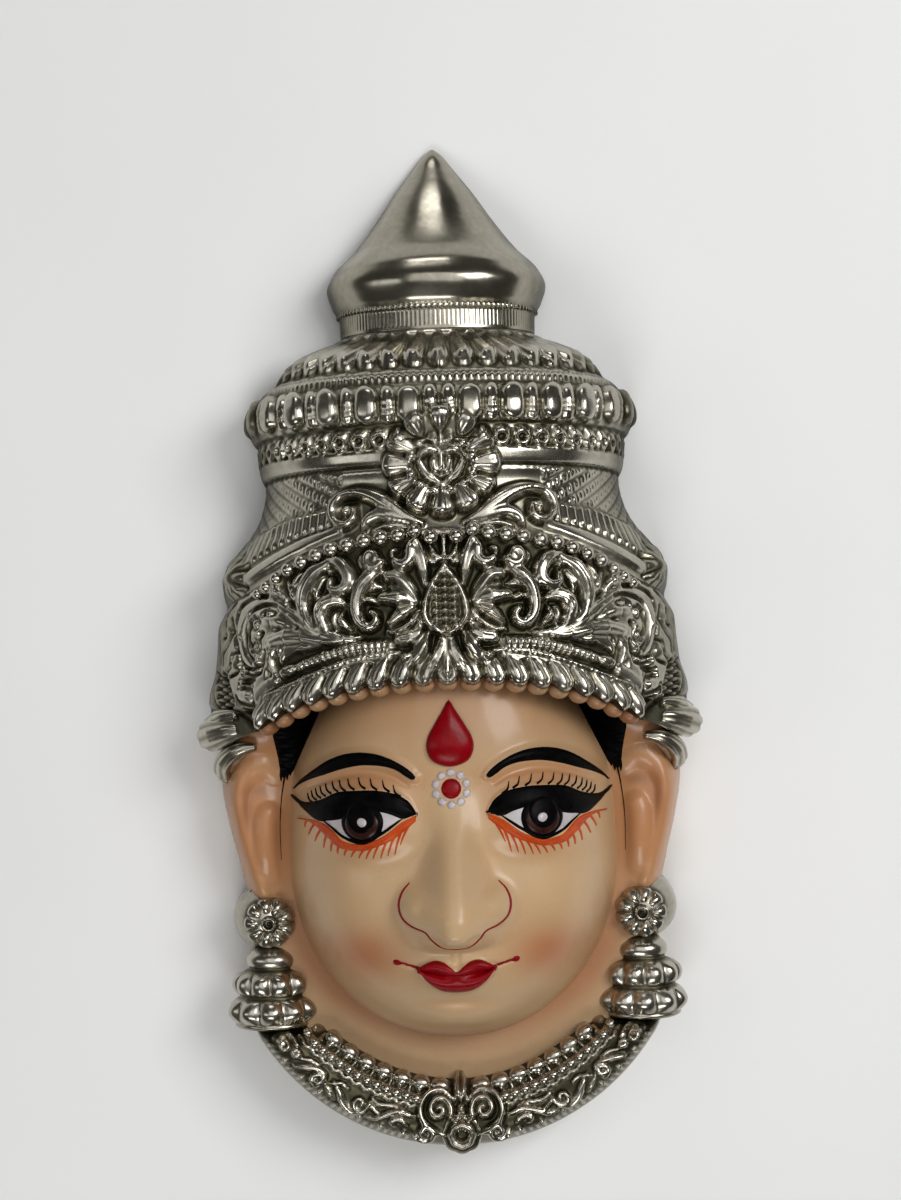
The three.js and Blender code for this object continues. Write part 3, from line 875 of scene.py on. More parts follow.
    # The two borders over the gadroons.
    stroke([(13.6, 2.6), (20, 2.2), (25, 1.3), (30, -0.2), (35, -2)], [1.25, 1.25, 1.15, 1],
           [1.9, 1.9, 1.9, 1.6], barred(1.55))
    stroke([(36.6, -2.6), (38.4, -3.4)], 1.1, 1.8, flat_shape)
    stroke([(40.6, -5), (43, -6.6), (45.4, -8.8)], 1.2, 1.1, flat_shape)
    stroke([(11, 0.9), (18, 0.3), (25, -1.3), (35, -5.2), (44, -9.4)], 0.6, 1.5, roped(1.5))
    stroke([(13, -0.5), (25, -2.9), (35, -6.9), (43, -10.8)], 0.35, 0.9)
    stroke([(12, 0.2), (25, -2.1), (35, -6), (44, -10.2)], 0.5, 0.5, flat_shape)


def ornament_crown_upper(relief):
    """The medallion, scrolls, bands and roll of the crown's upper part, right half."""
    stroke, dome = relief.stroke, relief.dome
    a, y = relief.a, relief.b

    def level(height, width, top, shape=rounded, cut=False):
        out = np.linspace(0, 1.04, 120)
        path = np.stack([out * crown.reach(height), height - droop(height, out)], axis=1)
        relief.sweep(path, width, top, shape, foot=-0.3, cut=cut)

    # The drilled lattice over the crown's waist.
    over = np.interp(a, *crown_convert([22, 26, 36, 45, 50.5], [36.2, 35.4, 33.8, 30, 25]))
    under = np.interp(a, *crown_convert([22, 26, 34, 41, 48.5], [31, 30.7, 28.9, 26, 21.6]))
    row_step, dot_step = 3.3, 2.5
    lean = (y - 0.42 * a) / row_step
    line = groove(((lean + 0.5) % 1 - 0.5) * row_step / 0.24)
    along_row = (a / dot_step + np.floor(lean) * 0.5) % 1 - 0.5
    from_dot = np.hypot((lean % 1 - 0.5) * row_step, along_row * dot_step)
    dots = 0.6 * np.clip(1 - (from_dot / 1.15) ** 4, 0, 1) - 1.1 * groove(from_dot / 0.5)
    lattice = (a > 25) & (y > over + 0.6) & (y < 44.1 - droop(44, a / crown.reach(y)))
    relief.height[lattice] = (dots - 0.6 * line)[lattice]
    # The ribbed band and the plain strip that sweep down to the side.
    band = (a > 20) & (y < over) & (y > under)
    ribs = wave((a + 0.05 * y) / 2.4) ** 0.5
    edge = np.clip(np.minimum(over - y, y - under) / 0.5, 0, 1)
    relief.height[band] = (-0.5 + 1.45 * ribs * edge)[band]
    strip = [(24.5, 29.9), (30, 28.2), (36, 25.8), (42, 22.8), (47.6, 19.4)]
    stroke(strip, [1.2, 1.6, 1.7, 1.7], 0.75, flat_shape)
    # Bands and beads, from the belt up to the dome.
    level(47, 2.2, 0.75, flat_shape)
    for height, width, deep in ((44.5, 0.45, 0.7), (49.4, 0.4, 0.5), (54, 0.55, 0.8), (64.4, 0.4, 0.5)):
        level(height, width, deep, cut=True)
    level(66, 0.85, 1, beaded(1.7))
    level(67.4, 0.4, 0.5, roped(1.1))
    level(78.6, 0.6, 0.5)
    reach = crown.reach(50.9)
    for centre in np.arange(14.5, reach - 1, 5.1):
        middle = (centre, 51.2 - droop(51, centre / reach))
        ring = around(middle, 1.6, np.linspace(0, 2 * PI, 25))
        relief.sweep(ring, 0.75, 1.3, foot=-0.3)
    # The roll: round bulbs between wrapped lengths.
    bulb_step = 10.2
    for k in range(9):
        bulb = 7.3 + bulb_step * k
        if bulb > crown.reach(59.5) + 2:
            break
        relief.sweep([[bulb, 57.6], [bulb, 60.8]], [3.1, 3.1], [1.9, 2.1, 1.9] if k else 1.3,
                     bulb_shape, foot=-1.3)
        wrap = bulb - bulb_step / 2
        relief.sweep([[wrap, 56.2], [wrap, 59.4], [wrap, 62.4]], [1.7, 1.8, 1.7],
                     [0.9, 1.25, 0.9], foot=-0.3)
        for high in (56.1, 57.5, 58.9):
            cut = smooth_path([[wrap - 1.7, high + 0.2], [wrap, high - 0.2], [wrap + 1.7, high + 0.2]])
            relief.sweep(cut, 0.26, 0.5, cut=True)
        for side in (-0.6, 0.6):
            relief.sweep([[wrap + side, 55.7], [wrap + side, 59.4]], 0.24, 0.4, cut=True)
    # The dome's petals.
    low_reach, top_reach = crown.reach(69), crown.reach(77)
    for k in range(10):
        share = 5.9 * k / low_reach
        if share > 1.02:
            break
        path = smooth_path([[share * top_reach, 77], [share * (top_reach + low_reach) / 2, 74],
                            [share * low_reach, 71 - droop(69, share)]])
        relief.sweep(path, [1.2, 2.2, 2.85], [0.3, 1.2, 2.5], dome_petal, foot=-0.7)
    # The rose on the crown's flank.
    dome(51.4, 19.4, 6.6, 6.2, 2.6, foot=-0.3, power=0.6)
    for k in range(8):
        turn = math.radians(45 * k + 22)
        path = smooth_path(around(relief.spot(51, 19.4), np.array([1.6, 4, 6.4]), turn))
        relief.sweep(path, [0.25, 0.5, 0.3], [0.7, 1.5, 0.9], cut=True)
    dome(51, 19.4, 1.3, 1.3, 3.2, foot=1.6)
    # The scrolls beside the medallion.
    stroke([(4.6, 30.7), (8.6, 32.6), (12.6, 35.4), (16.2, 37.6), (20, 38.6), (23.6, 37.8),
            (25.7, 35), (25.3, 32), (22.9, 30.8), (20.8, 32), (20.6, 34.2), (22.4, 35)],
           [0.5, 1.2, 1.9, 2.3, 2, 1.6, 1.35, 1.25, 1.15, 1, 0.9, 0.7],
           [1, 2, 2.6, 3, 3, 2.9, 2.8, 2.7, 2.6, 2.5, 2.5, 2.3], ribbed(4))
    dome(22.4, 33.9, 1.3, 1.3, 2.7)
    stroke([(6.4, 30.4), (10.4, 32.2), (14.6, 33.2), (17.8, 31.8), (18.6, 29.9)],
           [0.5, 1.3, 1.9, 1.7, 0.8], [1, 2, 2.5, 2.3, 1.5], ribbed(3))
    stroke([(8, 29.9), (13, 30.4), (16.6, 29.7)], [0.4, 0.9, 0.4], [0.8, 1.5, 0.8])
    # The medallion.
    dome(0, 45.1, 12, 11.4, 1.5, power=0.25)
    for k in range(7):
        turn = math.radians(30 * k)
        out = np.array([math.sin(turn), math.cos(turn)])
        long, half, high = (7.6, 3.4, 4) if k > 1 else (5.6, 2.9, 3)
        root = [0, 45.1] + out * [10.7, 9.9] + (3.4 - long) * out
        relief.petal(*root, turn, long, half, high, foot=0.4)
        turn = math.radians(30 * k + 15 if k < 6 else 180)
        spot = np.array([7.2 * math.sin(turn), 44.9 + 6.9 * math.cos(turn)])
        relief.sweep([spot, spot + 0.01], 1.35 if k < 6 else 1, 3.4, foot=1.2)
    stroke([(0, 49.6), (0, 52.2)], [1.3, 0.8], [3.6, 3.2])
    stroke([(0.9, 49.8), (2.4, 51.2), (4.2, 50.6)], [0.8, 1, 0.6], [3, 3.4, 2.8], foot=1)
    stroke([(1.2, 47.9), (3, 48.4), (4.8, 47)], [1.2, 1.7, 1], [3.4, 4, 3.2], foot=1)
    stroke([(5, 45.6), (3.6, 43.2), (0.4, 39.8)], [0.8, 1.4, 1], [3, 3.8, 3.2], creased, foot=1)
    stroke([(1.8, 45.9), (1.5, 44.2), (0, 42.2)], [1.1, 1.2, 0.7], [3.4, 3.7, 3], foot=1)
    stroke([(0, 47.4), (0, 44.6)], [0.6, 0.9], [3, 3.6], foot=1)


def droop(y, out):
    """How far a level band of the crown sinks towards its end, where out is 1."""
    return (2.4 if y < 55 else 1) * np.clip(out, 0, 1) ** 2


def flank_fade(shares):
    """Ornament stands out less towards the side, where it would widen the outline."""
    near = np.clip((shares - 0.68) / 0.32, 0, 1)
    return 1 - 0.7 * near**2 * (3 - 2 * near)


def relief_shell(name, material, flat, height, inner, recess, outward=None):
    """A closed piece whose front is a sheet raised by the relief on its right half. Inner is the
    wall's inner face, made from the sheet's points thinned out to one in each EVERY."""
    flat = mirrored_grid(flat)
    outward = normals_of(flat) if outward is None else mirrored_grid(outward)
    front = flat + outward * both_sides(height)[..., None]
    points, faces = shell(front, inner(flat, outward))
    return mesh_object(name, points, faces, material, recess=both_sides(recess).ravel())


def crown_wall(flat, outward):
    return drawn_in(flat[::EVERY, ::EVERY], WALL)


def build_crown_front():
    shares = half_shares(214, 72, 0.66)
    hem = height_at(crown, HEM_ROWS, shares)
    string = height_at(crown, STRING_ROWS, shares)
    hem_a = shares * crown.reach(hem)
    run = run_along(hem_a, hem)
    gap = 1 - np.abs(np.cos(PI * run / GADROON)) ** 0.6
    scalloped = hem - 1.3 + 2 * gap * (run < (GADROONS - 0.5) * GADROON)
    lip_rows, body_rows = 8, 140
    y = scalloped + np.linspace(0, 1, body_rows + 1)[:, None] * (string - scalloped)
    lip = np.linspace(1, 1 / lip_rows, lip_rows)[:, None]
    y = np.vstack([scalloped + 0.9 * lip**2, y])
    relief = Relief(shares * crown.reach(y), y, crown_convert, -0.6, wider=1.22)
    ornament_crown_front(relief, hem_a, hem)
    # The string's edge lies flush with the crown behind it.
    near_top = np.clip((y - (string - 2.2)) / 2.2, 0, 1)
    height = soften(relief.height, 3) * flank_fade(shares) * (1 - near_top**3)
    edge = height[lip_rows]
    height[:lip_rows] = edge - (edge + LIP) * np.sin(lip * PI / 2) ** 1.5
    worn = np.clip((shares - 0.5) / 0.18, 0, 1)
    # Patina under the ornament, and painted shade towards the side.
    recess = recess_of(relief.height, ground=-0.6) * (1 - 0.3 * worn) + 1.6 * flank_painted_shade(shares)
    recess[: lip_rows + 1] = 0.7

    def thick_hem(flat, outward):
        """The wall, drawn further in behind the lip under the gadroons."""
        back = flat[::EVERY, ::EVERY].copy()
        back[:3, :, 1] += 2.4
        deep = np.full(len(back), WALL)
        deep[:2] = (LIP, 5)
        return drawn_in(back, deep[:, None])

    return relief_shell("crown_front", SILVER, crown.place(shares, y), height, thick_hem, recess,
                        outward=crown.normal(shares, y))


def build_crown_upper():
    shares = half_shares(190, 54, 0.66)
    string = height_at(crown, STRING_ROWS, shares)
    y = string + np.linspace(0, 1, 161)[:, None] * (79.7 - string)
    relief = Relief(shares * crown.reach(y), y, crown_convert, -0.35)
    ornament_crown_upper(relief)
    height = soften(relief.height, 2) * flank_fade(shares) * np.clip((y - string) / 1.6, 0, 1)
    # Patina under the ornament, and painted shade towards the side.
    recess = recess_of(relief.height) + 2 * flank_painted_shade(shares)
    return relief_shell("crown_upper", SILVER, crown.place(shares, y), height, crown_wall, recess)


def build_finial():
    shares = np.linspace(0, 1, 133)
    y = np.concatenate([np.linspace(79.2, 85.4, 37), np.linspace(85.8, 126.9, 108)])[:, None]
    relief = Relief(shares * crown.reach(y), y * np.ones_like(shares), crown_convert, 0)
    flutes = (y > 79.9) & (y < 83.9)
    relief.height += np.where(flutes, 0.16 * wave(relief.a / 1.1) - 0.12, 0)
    path = np.stack([np.linspace(0, crown.reach(84.6) + 1, 60), np.full(60, 84.7)], axis=1)
    relief.sweep(path, 0.6, 0.55, beaded(1.4), foot=-0.2)
    # Patina under the beads, and painted shade towards the side.
    recess = recess_of(relief.height, blur=6, deep=0.8) + 1.7 * flank_painted_shade(shares)
    return relief_shell("finial", POLISHED, crown.place(shares, y), relief.height, crown_wall, recess)


def on_crown(x, y, lift):
    """A point over the crown and the way it faces there."""
    share = crown.run_to(x, y)[0] / crown.reach(y)
    near = np.array([-0.004, 0, 0.004])
    patch = crown.place(share + near, y + near[:, None] * 60)
    normal = normals_of(patch)[1, 1]
    return patch[1, 1] + normal * lift, normal


def build_bead_string():
    parts = Parts()
    beads = [(3, 27.2, 1.9), (6.7, 28.6, 1.9), (10.5, 27.8, 2), (14.5, 27.3, 2), (18.4, 26.7, 2),
             (22.4, 25.8, 2), (26.2, 25, 2), (29.8, 23.8, 1.9), (33.3, 22.3, 1.85),
             (36.7, 20.7, 1.75), (39.7, 18.9, 1.6), (42.3, 17.2, 1.45), (44.6, 15.6, 1.3)]
    for x, y, radius in beads:
        centre, normal = on_crown(x, y, 0.55 * radius)
        parts.add(*bead(centre, radius, 0.95, normal))
    parts.mirror()
    return parts.build("bead_string", SILVER)


pieces = [build_crown_front(), build_crown_upper(), build_finial(), build_bead_string()]


# The face


def face_span(y):
    """How far y lies from the face's middle, from 0 to 1 at its ends."""
    reach = np.where(y < FACE["y"], FACE["down"], FACE["up"])
    return np.clip(np.abs(y - FACE["y"]) / reach, 0, 0.9995)


def face_half(y):
    power = np.where(y < FACE["y"], 2.1, 2.4)
    return FACE["x"] * (1 - face_span(y) ** power) ** (1 / power)


def face_depth(y):
    reach = np.where(y < FACE["y"], FACE["down"], 2 * FACE["up"])
    share = np.clip(np.abs(y - FACE["y"]) / reach, 0, 0.9995)
    return FACE["depth"] * (1 - share**2.6) ** (1 / 2.6)


face = Sections(face_half, face_depth, FACE["edge"])

# The nose, down its bridge: [y, height, half width].
NOSE_ROWS = [
    [-29, 0, 5.4], [-33, 0.7, 5], [-38, 2.2, 4.6], [-44, 4.9, 4.7], [-50, 8.0, 5.3],
    [-55, 10.6, 6.3], [-59, 12.5, 7.2], [-62, 13.5, 7.4], [-65, 13.3, 7.1],
    [-67, 11, 6.4], [-68.3, 6.2, 5.8], [-69.2, 1.9, 5.2], [-70.2, 0, 4.6],
]
nose_profile = smooth_rows(NOSE_ROWS)
BINDI = (0, -31.5)

BROW_TOP = [(8.3, -28.5), (9.3, -27.3), (11.4, -25.7), (14.6, -24), (18.3, -22.9), (22.4, -22.7),
            (26.2, -23.4), (29.9, -25), (33.3, -27.3), (36.4, -29.8), (38.4, -32.2)]
BROW_LOW = [(8.5, -29), (9.2, -29.2), (10.6, -28.4), (12.8, -26.9), (15.6, -26), (19.2, -25.7),
            (22.4, -25.9), (26.6, -26.9), (30.4, -28.2), (34, -29.5), (36.9, -31), (38.4, -32.3)]
LID_TOP = [(8.3, -37), (10, -34.3), (13, -32.4), (17.5, -31.5), (22, -31.5), (27, -32),
           (31.5, -34), (35.6, -34.9), (38.9, -33.8)]
LID_LOW = [(8.5, -37.3), (10.6, -38), (12.2, -38.2), (15.2, -37), (21, -36), (26, -38.3),
           (30.4, -39), (33, -38.6), (35.6, -36.9), (38.9, -33.9)]
EYE_LOW = [(11.8, -38.2), (14, -39.7), (16.6, -41.4), (21, -43.6), (25.6, -42.4), (28.6, -40.2),
           (30.5, -38.9)]
ORANGE_TOP = [(8.4, -37.4), (12, -39), (16, -41.9), (19.4, -43.4), (21.6, -44), (25.8, -43.3),
              (28.4, -40.9), (30.6, -39.4), (34, -38.8), (37.4, -39)]
ORANGE_LOW = [(8.6, -38.9), (11.4, -41.2), (15, -43.5), (19.4, -45.2), (22, -45.7), (26.6, -45.2),
              (29.6, -43), (32.3, -40.6), (35, -39.3), (37.4, -39.2)]
LASHES = [(13.6, -30.3), (16.1, -29.2), (19, -28.8), (21.8, -28.6), (24.4, -28.9), (26.5, -29.3),
          (28.3, -29.6), (30, -30.2), (31.4, -30.9), (32.6, -31.5), (33.7, -32.1), (34.7, -32.8)]
LOW_LASHES = [(12.3, -44.2), (13.7, -46.6), (15.3, -46.8), (17, -47.4), (18.8, -47.4),
              (20.5, -47.5), (22.2, -47.4), (24, -47.1), (25.7, -46.9), (27.3, -46.5),
              (29, -46.1), (30.8, -45.4), (33, -44), (34.6, -42.6), (35.6, -41)]
LIP_TOP = [(0, -74.6), (1.4, -73.5), (3, -72.3), (5.1, -71.8), (7.2, -72.5), (9.2, -73.7)]
LIP_PART = [(0, -75.5), (3, -75.6), (6, -75), (9.2, -73.9)]
LIP_LOW = [(0, -80), (2.6, -79.8), (4.8, -78.9), (6.9, -77.1), (8.3, -75.2), (9.3, -73.9)]
NOSTRIL = [(10.4, -53.2), (12.2, -55.3), (13.1, -58.2), (12.4, -61.2), (10, -63.2), (7, -64.3),
           (5.4, -66.3), (3, -68), (0, -68.6)]


def hill(x, y, at, size, power=1.0):
    q = ((x - at[0]) / size[0]) ** 2 + ((y - at[1]) / size[1]) ** 2
    return np.exp(-(q**power))


def even_edges(top, low, step, count):
    """Two smooth edges, each read at the same number of places."""
    share = np.linspace(0, 1, count)
    edges = smooth_path(top, step), smooth_path(low, step)
    return [columns_at(share, np.linspace(0, 1, len(edge)), edge) for edge in edges]


def swelling(x, y, path, width, height, cut=False):
    """How high a soft band along a path stands at points (x, y)."""
    relief = Relief(x, y, None, 0)
    relief.sweep(path, width, height, soft_edge, foot=0, cut=cut)
    return relief.height


brow_edges = even_edges(BROW_TOP, BROW_LOW, 0.4, 30)


def face_lift(x, y):
    """How far the features stand out of the face's plain form."""
    ax = np.abs(x)
    bridge, wide = nose_profile(y, 1), nose_profile(y, 2)
    nose = bridge * np.exp(-0.75 * (ax / wide) ** 2.3)
    wing = 6.0 * hill(ax, y, (8, -59.4), (5.2, 5.4), 1.6)
    z = (nose**2.6 + wing**2.6) ** (1 / 2.6)
    # Nostrils, the ball of the eye, its inner corner, cheek, mouth, chin and forehead.
    for height, at, size, power in (
        (-1.5, (4.6, -66.4), (1.9, 1.5), 1.5), (2.5, (21, -38.4), (15.4, 9.2), 2.6),
        (0.9, (21, -39.5), (9, 5), 1.2), (-1.3, (9, -36), (4.6, 6), 1), (2.2, (25, -58), (12, 14), 1),
        (2.8, (0, -75), (15, 9), 1), (2.8, (0, -88.5), (10, 6.5), 1), (-1, (0, -82.6), (8.5, 1.9), 1),
        (0.8, (0, -20), (20, 10), 1),
    ):
        z += height * hill(ax, y, at, size, power)
    one, two = brow_edges
    brow_half = np.linalg.norm(one - two, axis=1) / 2
    z += swelling(ax, y, (one + two) / 2, brow_half + 1.5, 0.95)
    # The lids, the lips and what lies round them.
    fold = [(10, -30.8), (14.5, -28.4), (21, -27.4), (28, -28.9), (34.5, -31.6)]
    upper = [(-3, -74), (0, -74.9), (3, -74), (5.4, -73.4), (8.9, -73.9)]
    lower = [(-4, -77.6), (0, -77.9), (4, -77.5), (7.6, -75.7), (9.2, -74.2)]
    parting = [(-4, -75.5), (0, -75.6), (4, -75.5), (9.2, -73.9), (13.8, -72.5)]
    for path, width, height, cut in (
        (fold, [0.4, 1.3, 1.4, 1.1, 0.4], 0.55, True),
        (LID_TOP, [0.3, 0.8, 0.9, 0.9, 0.8, 0.3], 0.5, False),
        (ORANGE_TOP, [0.3, 0.9, 1.1, 1.1, 0.8, 0.3], 0.6, False),
        (upper, [2, 1.9, 2.1, 1.9, 0.6], 1.5, False), (lower, [2.7, 2.9, 2.7, 1.8, 0.5], 2.2, False),
        (parting, [0.6, 0.6, 0.6, 0.5, 0.4], 0.55, True),
        ([(0, -69.6), (0, -71), (0, -73.4)], [1.2, 1.8], 0.5, True),
    ):
        z += swelling(ax, y, smooth_path(path), width, height, cut)
    return z


def face_z(x, y):
    base = 1 - (np.abs(x) / face_half(y)).clip(0, 1) ** FACE["edge"]
    return face_depth(y) * base ** (1 / FACE["edge"]) + face_lift(x, y)


def lay_on(surface, points, lift):
    """Points (x, y) laid over a surface z(x, y), raised along the way it faces."""
    x, y = points[..., 0], points[..., 1]
    d = 0.08
    z = surface(x, y)
    slope_x = (surface(x + d, y) - z) / d
    slope_y = (surface(x, y + d) - z) / d
    normal = unit(np.stack([-slope_x, -slope_y, np.ones_like(z)], axis=-1))
    return np.stack([x, y, z], axis=-1) + normal * np.asarray(lift)[..., None]


ACROSS = np.array([0, 0.1, 0.3, 0.5, 0.7, 0.9, 1])


def film(surface, edges, across, rise, base=0.5):
    """A film of paint over a surface, between two edges of as many (x, y) points."""
    place = across[:, None]
    flat = edges[0][:, None] * (1 - place) + edges[1][:, None] * place
    upper, under = lay_on(surface, flat, rise), lay_on(surface, flat[:, ::-1], -base)
    return closed_tube(np.concatenate([upper, under], axis=1))


def arched(across, lift, arch=0.0):
    """A film's height over its width: none at its edges, and highest in its middle."""
    return np.where((across == 0) | (across == 1), 0, lift + arch * 4 * across * (1 - across))


def strip(surface, top, low, lift, count=40, arch=0.0, across=ACROSS):
    """A film between two edges of (x, y) points."""
    return film(surface, even_edges(top, low, 0.3, count), across, arched(across, lift, arch))


def line(surface, points, width, lift):
    """A painted stroke. Width is its half width, along its length."""
    path = smooth_path(points, 0.3)
    along = unit(np.gradient(path, axis=0))
    half = spread(width, np.linspace(0, 1, len(path)))[:, None]
    side = np.stack([-along[:, 1], along[:, 0]], axis=1) * half
    return film(surface, (path + side, path - side), ACROSS, arched(ACROSS, lift))


def patch(surface, outline, lift, dome=0.0, rings=8, power=0.5, centre=None):
    """A film or a dome of paint inside a closed outline of (x, y) points."""
    centre = outline.mean(axis=0) if centre is None else np.array(centre)
    levels = [(r, lift + dome * (1 - r * r) ** power) for r in np.linspace(0.06, 1, rings)[:-1]]
    levels += [(1, 0), (1, -0.6), (0.06, -0.6)]
    return closed_tube([lay_on(surface, centre + (outline - centre) * r, z) for r, z in levels])


def oval(x, y, across, along, turn=0.0, count=32):
    t = ring_turns(count)
    a, b = across * np.cos(t), along * np.sin(t)
    cos, sin = math.cos(turn), math.sin(turn)
    return np.stack([x + a * cos - b * sin, y + a * sin + b * cos], axis=1)


def toned(base, *tones):
    """Blends colours over a base, the airbrush's and painted shade: (colour, weight) in turn."""
    colour = np.array(base)
    for tone, weight in tones:
        weight = np.clip(weight, 0, 1)[..., None]
        colour = colour * (1 - weight) + tone * weight
    return colour


def face_tint(x, y):
    ax = np.abs(x)
    base = np.broadcast_to(CREAM, x.shape + (3,))
    edge = np.clip((ax / face_half(y) - 0.72) / 0.3, 0, 1) ** 1.6
    low_edge = edge * np.clip((-52 - y) / 16, 0, 1)
    under_hem = np.clip((y + 11.5) / 5, 0, 1)
    # Painted shade on the lid, in its fold under the brow.
    lid = hill(ax, y, (22, -29.3), (15, 3.4), 1.3)
    return toned(
        # Painted shade: the forehead darkens towards the crown, most under its hem, and the face's edge
        # darkens low down by the jaw.
        base, (PEACH * 0.72, 0.5 * np.clip((y + 36) / 24, 0, 1)), (PEACH, 0.5 * low_edge),
        (BROWN, 0.3 * low_edge), (PEACH, 0.15 * edge), (PEACH * 0.8, 0.5 * under_hem),
        (PEACH, 0.72 * lid), (BLUSH, 0.9 * hill(ax, y, (22, -71), (9.5, 6.6))),
        # Painted shade: the crescent under the eye, the eye's inner corner and the groove over the chin.
        (PEACH, 0.3 * hill(ax, y, (22, -47), (12, 3))),
        (PEACH, 0.35 * hill(ax, y, (9, -35), (3.4, 5))),
        (PEACH, 0.3 * hill(x, y, (0, -83), (7, 2))),
        # Painted shade under the chin.
        (PEACH * 0.75, 0.6 * np.clip((-88 - y) / 5, 0, 1)),
    )


def build_face():
    shares = half_shares(140, 26, 0.8)
    low = FACE["y"] - FACE["down"] * np.sin(np.linspace(1.47, 0, 133))
    y = np.concatenate([low, np.linspace(FACE["y"], -1, 121)[1:]])
    flat = mirrored_grid(face.place(shares, y[:, None]))
    front = flat.copy()
    front[..., 2] += face_lift(flat[..., 0], flat[..., 1])
    points, faces = shell(front, (flat - normals_of(flat) * WALL)[::EVERY, ::EVERY])
    tint = face_tint(flat[..., 0], flat[..., 1]).reshape(-1, 3)
    return mesh_object("face", points, faces, SKIN, tint=tint)


def build_eyes():
    """The painted eyes, brows and lashes; the right ones are made and mirrored."""
    white, black, brown, orange = Parts(), Parts(), Parts(), Parts()
    eye_top = [(11.8, -38.1), (15.2, -36.4), (21, -35.4), (26, -37.4), (30.5, -38.8)]
    white.add(*strip(face_z, eye_top, EYE_LOW, 0.12))
    black.add(*patch(face_z, oval(21.1, -38.8, 5.2, 4.9), 0.2, 0.5))
    brown.add(*patch(face_z, oval(21.1, -39.2, 4.3, 3.9), 0.5, 0.4))
    black.add(*patch(face_z, oval(21.2, -37.8, 3.7, 4), 0.75, 0.35))
    # The white spot on each pupil is a painted highlight.
    glint = oval(21.3, -38.7, 1.25, 1.15, 0.5, 14)
    white.add(*patch(lambda x, y: face_z(x, y) + 1.15, glint, 0.2, rings=3))
    black.add(*strip(face_z, LID_TOP, LID_LOW, 0.3, 64, arch=0.45))
    black.add(*line(face_z, EYE_LOW, [0.15, 0.35, 0.4, 0.45, 0.4, 0.3, 0.15], 0.24))
    black.add(*strip(face_z, BROW_TOP, BROW_LOW, 0.2, 64, arch=0.3))
    orange.add(*strip(face_z, ORANGE_TOP, ORANGE_LOW, 0.16, 60, arch=0.15))
    for k, (x, y) in enumerate(LASHES):
        share = k / (len(LASHES) - 1)
        root = (x - 1.7 + 0.3 * share, y - 2.7 + 0.7 * share)
        bend = (x - 0.4, y - 1.7 + 0.3 * share)
        black.add(*line(face_z, [root, bend, (x, y)], [0.26, 0.22, 0.1], 0.16))
    edge = smooth_path(ORANGE_LOW, 0.2)
    for k, (x, y) in enumerate(LOW_LASHES):
        share = (k + 1.4) / (len(LOW_LASHES) + 1.6)
        root = edge[int(share * (len(edge) - 1))]
        root = root + (root - [x, y]) * 0.15
        bend = (root + [x, y]) / 2 + [0.15, 0]
        orange.add(*line(face_z, [root, bend, (x, y)], [0.3, 0.26, 0.12], 0.13))
    for part in (white, black, brown, orange):
        part.mirror()
    return [
        white.build("eye_whites_and_glints", WHITE), black.build("brows_lids_and_lashes", BLACK),
        brown.build("irises", BROWN_PAINT), orange.build("lower_lid_lines", ORANGE),
    ]


def build_red_paint():
    red = Parts()
    for side in (1, -1):
        right = [(x * side, y) for x, y in NOSTRIL]
        red.add(*line(face_z, right, [0.12, 0.22, 0.26, 0.26, 0.24, 0.2, 0.2, 0.2, 0.2], 0.12))
        corner = [(8.4 * side, -73.9), (11.2 * side, -73.1), (13.9 * side, -72.4)]
        red.add(*line(face_z, corner, [0.5, 0.32, 0.4], 0.14))
        end = oval(14.1 * side, -72.4, 0.95, 0.7, 0.3 * side, 16)
        red.add(*patch(face_z, end, 0.14, 0.3, rings=4))
    lip_across = np.linspace(0, 1, 9)

    def whole(points):
        return [(-x, y) for x, y in points[:0:-1]] + points

    below = [(x, y - 0.3) for x, y in LIP_PART]
    above = [(x, y + 0.3) for x, y in LIP_PART]
    red.add(*strip(face_z, whole(LIP_TOP), whole(below), 0.12, 60, 0.15, across=lip_across))
    red.add(*strip(face_z, whole(above), whole(LIP_LOW), 0.12, 60, 0.2, across=lip_across))
    red.add(*patch(face_z, oval(*BINDI, 2.35, 2.35), 0.15, 0.75))
    half = [(1.5, -13), (3.6, -16.4), (5.3, -19.6), (5.5, -22.6), (3.9, -25.2)]
    drop = [(0, -10.7), *half, (0, -26.4), *((-x, y) for x, y in half[::-1])]
    drop = smooth_path(drop, 0.8, closed=True)[:-1]
    red.add(*patch(face_z, drop, 0.5, 1.9, rings=14, power=0.6, centre=(0, -20.8)))
    return red.build("bindi_and_lips", RED)


def build_bindi_dots():
    dots = Parts()
    for k in range(10):
        turn = math.radians(36 * k + 90)
        dot = oval(*around(BINDI, 3.75, turn), 0.95, 1.08, turn, 16)
        dots.add(*patch(face_z, dot, 0.15, 0.45, rings=5))
    return dots.build("bindi_dots", WHITE)


def build_hem_tips():
    """The painted ends of the gadroons, over the forehead."""
    parts = Parts()
    curve = smooth_rows(HEM_ROWS)
    x = np.linspace(0, 52, 400)
    y = curve(x)
    run = run_along(crown.run_to(x, y), y)
    for k in range(GADROONS):
        tip_x, tip_y = (np.interp(GADROON * k, run, column) for column in (x, y))
        place, normal = on_crown(tip_x, tip_y, -2.4)
        down = unit(np.array([curve(tip_x + 1) - curve(tip_x), -1, 0]))
        centre = place + down * 0.9
        for side in (1, -1) if k else (1,):
            twin = np.array([side, 1, 1])
            parts.add(*egg_shape(centre * twin, down * twin, normal * twin, 2.5, 2, 2.7))
    points = np.vstack(parts.points)
    # Darker low down and lighter on top: painted shade and light on the tips.
    shade = np.clip((points[:, 2] - 36) / 10, 0, 1)
    tint = toned(np.broadcast_to(PEACH * 0.6, points.shape), (PEACH * 0.8, shade),
                 (CREAM * 0.75, 0.55 * shade))
    return parts.build("gadroon_tips", SKIN, tint=tint)


